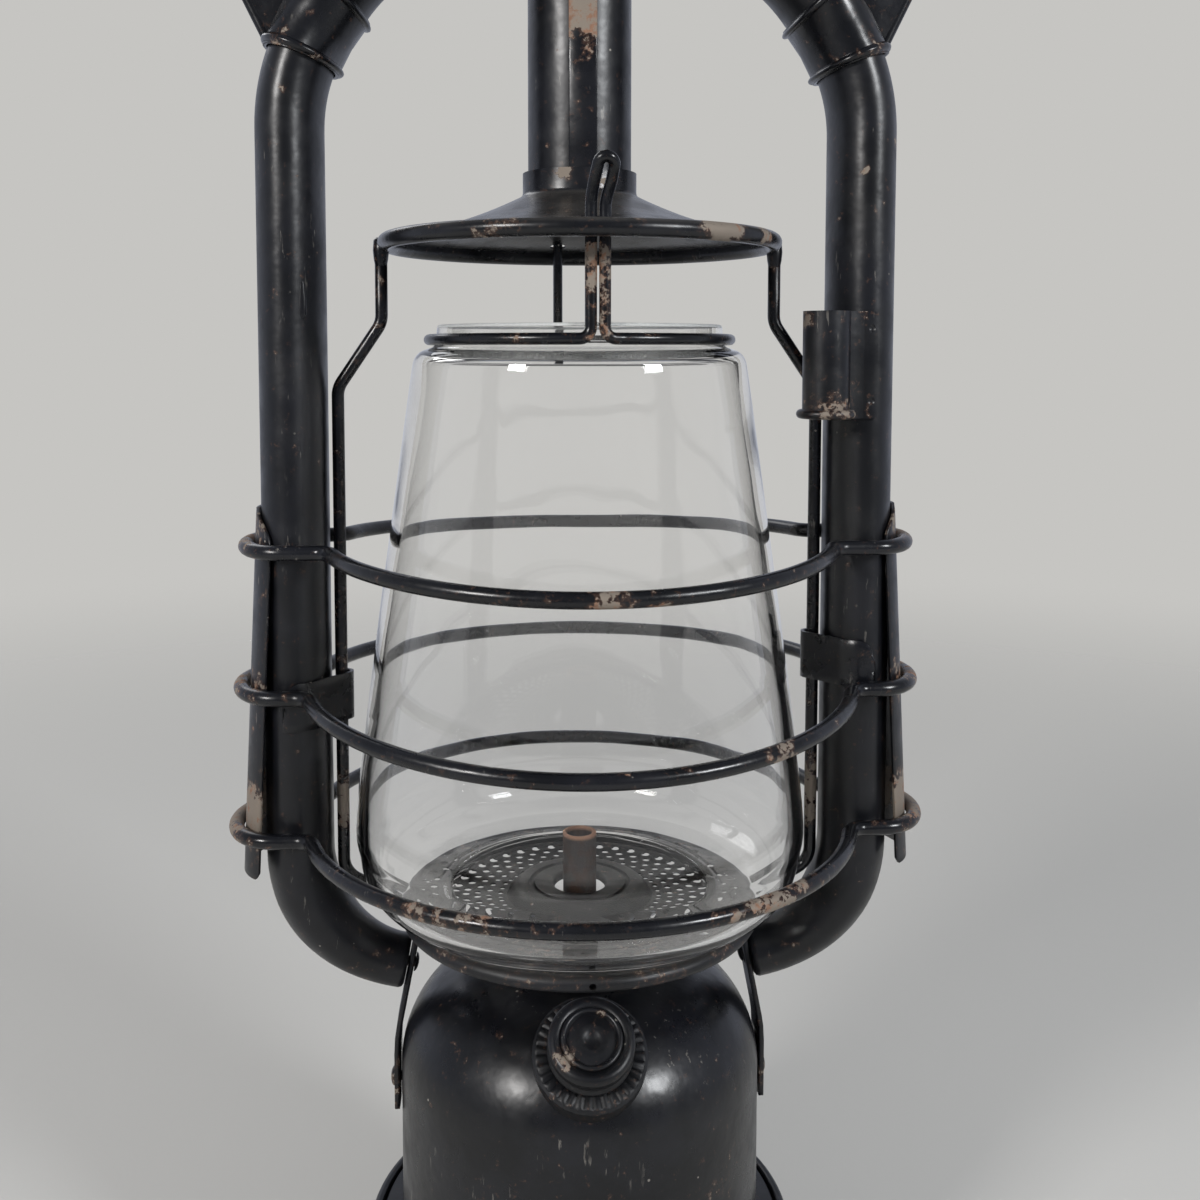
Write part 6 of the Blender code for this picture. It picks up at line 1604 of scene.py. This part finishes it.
class LANTERN_OT_retainer(bpy.types.Operator):
    """Globe retainer: wire ring with twin front wires, a finger loop and a back wire"""

    bl_idname = "lantern.retainer"
    bl_label = "Globe retainer"

    def execute(self, context):
        left, right = RETAINER_TWIN_X, RETAINER_TWIN_X + RETAINER_TWIN_GAP
        ring_r, corner = RETAINER_RING_R, RETAINER_CORNER_R
        foot_z = RETAINER_Z + corner
        loop_x, low_z = (left + right) / 2 + RETAINER_LOOP_SHIFT, RETAINER_LOOP_FOOT_Z
        loop = arc((loop_x, RETAINER_LOOP_Z), RETAINER_LOOP_HALF, pi, 0, 14)
        path = [Vector((x, -ring_r, z)) for x, z in loop]
        bends = [(right + shift, -ring_r, z) for z, _, shift in RETAINER_BENDS]
        path += smooth_line([path[-1], *bends, (right, -ring_r, low_z)], 4)[1:]
        path += [Vector((right, -ring_r, z)) for z in (low_z - RETAINER_TWIN_FOOT, foot_z)]
        quarter = [pi / 2 * i / 6 for i in range(1, 6)]
        path += [Vector((right + corner * (1 - cos(a)), -ring_r, foot_z - corner * sin(a))) for a in quarter]
        start = -pi / 2 + (right + corner) / ring_r
        end = 3 * pi / 2 + (left - corner) / ring_r
        path += [Vector((x, y, RETAINER_Z)) for x, y in arc((0, 0), ring_r, start, end, 96)]
        path += [Vector((left - corner * (1 - cos(a)), -ring_r, foot_z - corner * sin(a)))
                 for a in quarter[::-1]]
        path += [Vector((left, -ring_r, z)) for z in (foot_z, low_z - RETAINER_TWIN_FOOT)]
        bends = [(left + shift, -ring_r, z) for z, shift, _ in reversed(RETAINER_BENDS)]
        path += smooth_line([(left, -ring_r, low_z), *bends, path[0]], 4)[:-1]
        # The finger loop is bent forward above the plate
        for point in path:
            rise = max(0.0, point.z - low_z) / (RETAINER_LOOP_Z - low_z)
            point.y -= RETAINER_LOOP_LEAN * rise ** 1.5
        path = even(path, 0.0004, True)
        coat = enamelled("enamelled_wire_retainer", 0.25, 0.675, 0.0018, 0.48, 0.0, RETAINER_SPOTS, 0.00018)
        ring = made("retainer_ring", loft(wire_rings(path, RETAINER_R, 14, True), closed=True), 60)
        worn(ring, coat, "globe_retainer", ["globe_retainer"])
        back = [(RETAINER_BACK_X, ring_r, RETAINER_Z), (RETAINER_BACK_X, ring_r, RETAINER_BACK_TOP_Z)]
        back.append((RETAINER_BACK_X, ring_r - RETAINER_BACK_REACH, RETAINER_BACK_TOP_Z + RETAINER_R))
        path = even(rounded(back, corner), 0.0004)
        worn(made("retainer_back_wire", blunt_wire(path, RETAINER_R * 0.95), 60), coat, "globe_retainer",
             ["globe_retainer"])
        return {"FINISHED"}


def tube_side(turn, grow):
    """A point (x, y) on the right-hand tube's oval, grown by a distance."""
    return TUBE_X + (TUBE_HALF_X + grow) * cos(turn), (TUBE_HALF_Y + grow) * sin(turn)


def cut_corner(piece, low, high):
    """Round the free upper corner of a wrapped clip by lowering its outermost points."""
    for point in piece.data.vertices:
        x, y, z = point.co
        turn = atan2(y / TUBE_HALF_Y, (abs(x) - TUBE_X) / TUBE_HALF_X)
        share = max(0.0, 1 - (CLIP_FROM - turn) / CLIP_CORNER) if y < 0 else 0.0
        if z > (low + high) / 2 and 0 < share <= 1.2:
            point.co.z = z - (high - low) * 0.5 * (1 - sqrt(max(0.0, 1 - min(share, 1.0) ** 2)))


class LANTERN_OT_guides(bpy.types.Operator):
    """Sheet clips on the tubes' fronts, each hooked round a lift wire"""

    bl_idname = "lantern.guides"
    bl_label = "Wire guides"

    def execute(self, context):
        bore = LIFT_R + SLIDE_FIT
        steps = 18
        path = [tube_side(CLIP_FROM + (CLIP_LEAVE - CLIP_FROM) * i / steps, FIT) for i in range(steps + 1)]
        run_x, run_y = LIFT_X - path[-1][0], -path[-1][1]
        heading = atan2(run_y, run_x) + asin(bore / hypot(run_x, run_y))
        path += arc((LIFT_X, 0), bore, heading + pi / 2, pi / 3, 18)
        outline = sheet_outline(path, SHEET)
        coat = enamelled("stoved_enamel_clip", 0.26, 0.685, 0.0020, 0.40)
        for (side, word), foot_z in zip(SIDES, (CLIP_LEFT_Z, CLIP_RIGHT_Z)):
            flat = [(side * x, y) for x, y in outline]
            rows = [foot_z + CLIP_HEIGHT * i / 6 for i in range(7)]
            clip = made(f"guide_clip_{word}", loft([[Vector((x, y, z)) for x, y in flat] for z in rows]), 40)
            cut_corner(clip, foot_z, foot_z + CLIP_HEIGHT)
            eased(clip, 0.0002, 40)
            worn(clip, coat, "frame", [f"wire_guide_{word}"])
        return {"FINISHED"}


class LANTERN_OT_socket(bpy.types.Operator):
    """Accessory socket: rolled sheet with a beaded foot and a spot-welded flange"""

    bl_idname = "lantern.socket"
    bl_label = "Accessory socket"

    def execute(self, context):
        bore = SOCKET_R - SHEET
        steps = 12
        path = [tube_side(SOCKET_FLANGE_FROM + (SOCKET_FLANGE_TO - SOCKET_FLANGE_FROM) * i / steps, FIT)
                for i in range(steps + 1)]
        path += arc((SOCKET_X, SOCKET_Y), bore, radians(-5), SOCKET_SEAM - 2 * pi, 48)
        outline = sheet_outline(path, SHEET)
        rows = [SOCKET_FOOT_Z + SOCKET_HEIGHT * i / 20 for i in range(21)]
        socket = made("socket_rolled", loft([[Vector((x, y, z)) for x, y in outline] for z in rows]), 40)
        coat = enamelled("stoved_enamel_socket", 0.33, 0.672, 0.0020, 0.42, 0.0, SOCKET_SPOTS)
        bead_z = SOCKET_FOOT_Z + SOCKET_BEAD_R
        circle = arc((SOCKET_X, SOCKET_Y), SOCKET_R + SOCKET_BEAD_R / 4, radians(-12), radians(-288), 40)
        bead = blunt_wire([Vector((x, y, bead_z)) for x, y in circle], SOCKET_BEAD_R)
        shaped(socket, [bead], "UNION", sharp=40)
        # Two spot welds dimple the flange near its outer edge
        welds = []
        x, y = tube_side(WELD_TURN, FIT + SHEET)
        for share in WELD_SHARES:
            place = Matrix.Translation((x, y - WELD_PROUD, SOCKET_FOOT_Z + SOCKET_HEIGHT * share))
            welds.append(bmesh.new())
            bmesh.ops.create_uvsphere(welds[-1], u_segments=24, v_segments=12, radius=WELD_R, matrix=place)
        shaped(socket, welds, sharp=40)
        worn(socket, coat, "frame", ["accessory_socket"])
        return {"FINISHED"}


def soft_light(name, place, width, power, tint):
    """A soft square light of a width at a place, facing the lantern's middle."""
    lamp = bpy.data.lights.new(name, "AREA")
    lamp.size, lamp.energy, lamp.color = width, power, tint
    holder = bpy.data.objects.new(name, lamp)
    bpy.context.scene.collection.objects.link(holder)
    holder.location = place
    holder.rotation_euler = (Vector(AIM) - Vector(place)).to_track_quat("-Z", "Y").to_euler()
    holder.visible_camera = False


class LANTERN_OT_stage(bpy.types.Operator):
    """Stage: camera at the lantern's shoulder height, pale floor, soft lights and a pale surround"""

    bl_idname = "lantern.stage"
    bl_label = "Stage"

    def execute(self, context):
        scene = context.scene
        scene.view_settings.view_transform = "Standard"
        lens = bpy.data.cameras.new("camera")
        lens.sensor_width, lens.lens = SENSOR_MM, LENS_MM
        lens.shift_x, lens.shift_y = LENS_SHIFT
        lens.clip_start, lens.clip_end = 0.01, 20.0
        camera = bpy.data.objects.new("camera", lens)
        scene.collection.objects.link(camera)
        camera.location = (CAMERA_AWAY * sin(CAMERA_TURN), -CAMERA_AWAY * cos(CAMERA_TURN), CAMERA_Z)
        camera.rotation_euler = (pi / 2 - CAMERA_PITCH, 0, CAMERA_TURN)
        scene.camera = camera

        floor_data = bmesh.new()
        bmesh.ops.create_circle(floor_data, cap_ends=True, segments=96, radius=FLOOR_R)
        floor = made("floor", floor_data)
        floor.location.z = -FLOOR_SINK
        pale = colour(linear("#c6c5c2"))
        # The matt floor fades into the surround well away from the lantern
        material, tree, shader, place = blank("pale_matt_floor")
        fill(tree, shader, {"Base Color": pale, "Roughness": 0.95, "Specular IOR Level": 0.1})
        away = node(tree, "VectorMath", {0: place}, "Value", operation="LENGTH")
        fade = node(tree, "MapRange", {0: away, 1: FLOOR_FADE_FROM, 2: FLOOR_FADE_TO}, **SMOOTH)
        cover = {0: fade, 1: shader.outputs[0], 2: node(tree, "BsdfTransparent", {})}
        fill(tree, tree.nodes["Material Output"], {"Surface": node(tree, "MixShader", cover)})
        floor.data.materials.append(material)

        world = bpy.data.worlds.new("pale_surround")
        scene.world = world
        world.use_nodes = True
        tree = world.node_tree
        lit = tree.nodes["Background"]
        fill(tree, lit, {"Color": colour(linear("#eef0f4")), "Strength": 0.5})
        seen = node(tree, "Background", {"Color": pale, "Strength": 1.0})
        # Glossy pieces see the same pale wall behind, and a dimmer room above and in front
        around = {0: node(tree, "TexCoord", {}, "Generated"), 1: (0.0, 0.75, -0.66)}
        behind = node(tree, "VectorMath", around, "Value", operation="DOT_PRODUCT")
        glow = node(tree, "MapRange", {0: behind, 1: -0.75, 2: 0.35, 3: 0.32, 4: 1.0}, **SMOOTH)
        room = node(tree, "Background", {"Color": colour(linear("#bcc1cf")), "Strength": glow})
        rays = node(tree, "LightPath", {}).node.outputs
        direct = {0: rays["Is Camera Ray"], 1: rays["Is Transmission Ray"]}
        direct = node(tree, "Math", direct, operation="MAXIMUM")
        glossy = {0: rays["Is Glossy Ray"], 1: rays["Is Transmission Ray"]}
        glossy = node(tree, "Math", glossy, operation="SUBTRACT")
        surround = node(tree, "MixShader", {0: direct, 1: lit.outputs[0], 2: seen})
        surround = node(tree, "MixShader", {0: glossy, 1: surround, 2: room})
        fill(tree, tree.nodes["World Output"], {"Surface": surround})

        for lamp in LAMPS:
            soft_light(*lamp)
        return {"FINISHED"}


OPERATORS = (
    LANTERN_OT_stage, LANTERN_OT_tank, LANTERN_OT_pot, LANTERN_OT_filler, LANTERN_OT_regulator,
    LANTERN_OT_straps, LANTERN_OT_side_tubes, LANTERN_OT_collars, LANTERN_OT_bail, LANTERN_OT_hood,
    LANTERN_OT_guards, LANTERN_OT_chimney, LANTERN_OT_globe_plate, LANTERN_OT_lift_wires,
    LANTERN_OT_gallery, LANTERN_OT_globe, LANTERN_OT_retainer, LANTERN_OT_guides, LANTERN_OT_socket,
)


class LANTERN_PT_pieces(bpy.types.Panel):
    """The lantern's pieces, sizes and finishes"""

    bl_idname = "LANTERN_PT_pieces"
    bl_label = "Carbide storm lantern"
    bl_space_type = "VIEW_3D"
    bl_region_type = "UI"
    bl_category = "Lantern"

    def draw(self, context):
        for group in (context.scene.lantern_sizes, context.scene.lantern_finish):
            box = self.layout.box()
            for name in group.__annotations__:
                box.prop(group, name)
        for operator in OPERATORS:
            self.layout.operator(operator.bl_idname)


CLASSES = (LanternSizes, LanternFinish, *OPERATORS, LANTERN_PT_pieces)


def register():
    for cls in CLASSES:
        bpy.utils.register_class(cls)
    bpy.types.Scene.lantern_sizes = PointerProperty(type=LanternSizes)
    bpy.types.Scene.lantern_finish = PointerProperty(type=LanternFinish)


def unregister():
    del bpy.types.Scene.lantern_finish
    del bpy.types.Scene.lantern_sizes
    for cls in reversed(CLASSES):
        bpy.utils.unregister_class(cls)


def main():
    """Build every piece in order."""
    register()
    for operator in OPERATORS:
        group, name = operator.bl_idname.split(".")
        getattr(getattr(bpy.ops, group), name)()


if __name__ == "__main__":
    main()
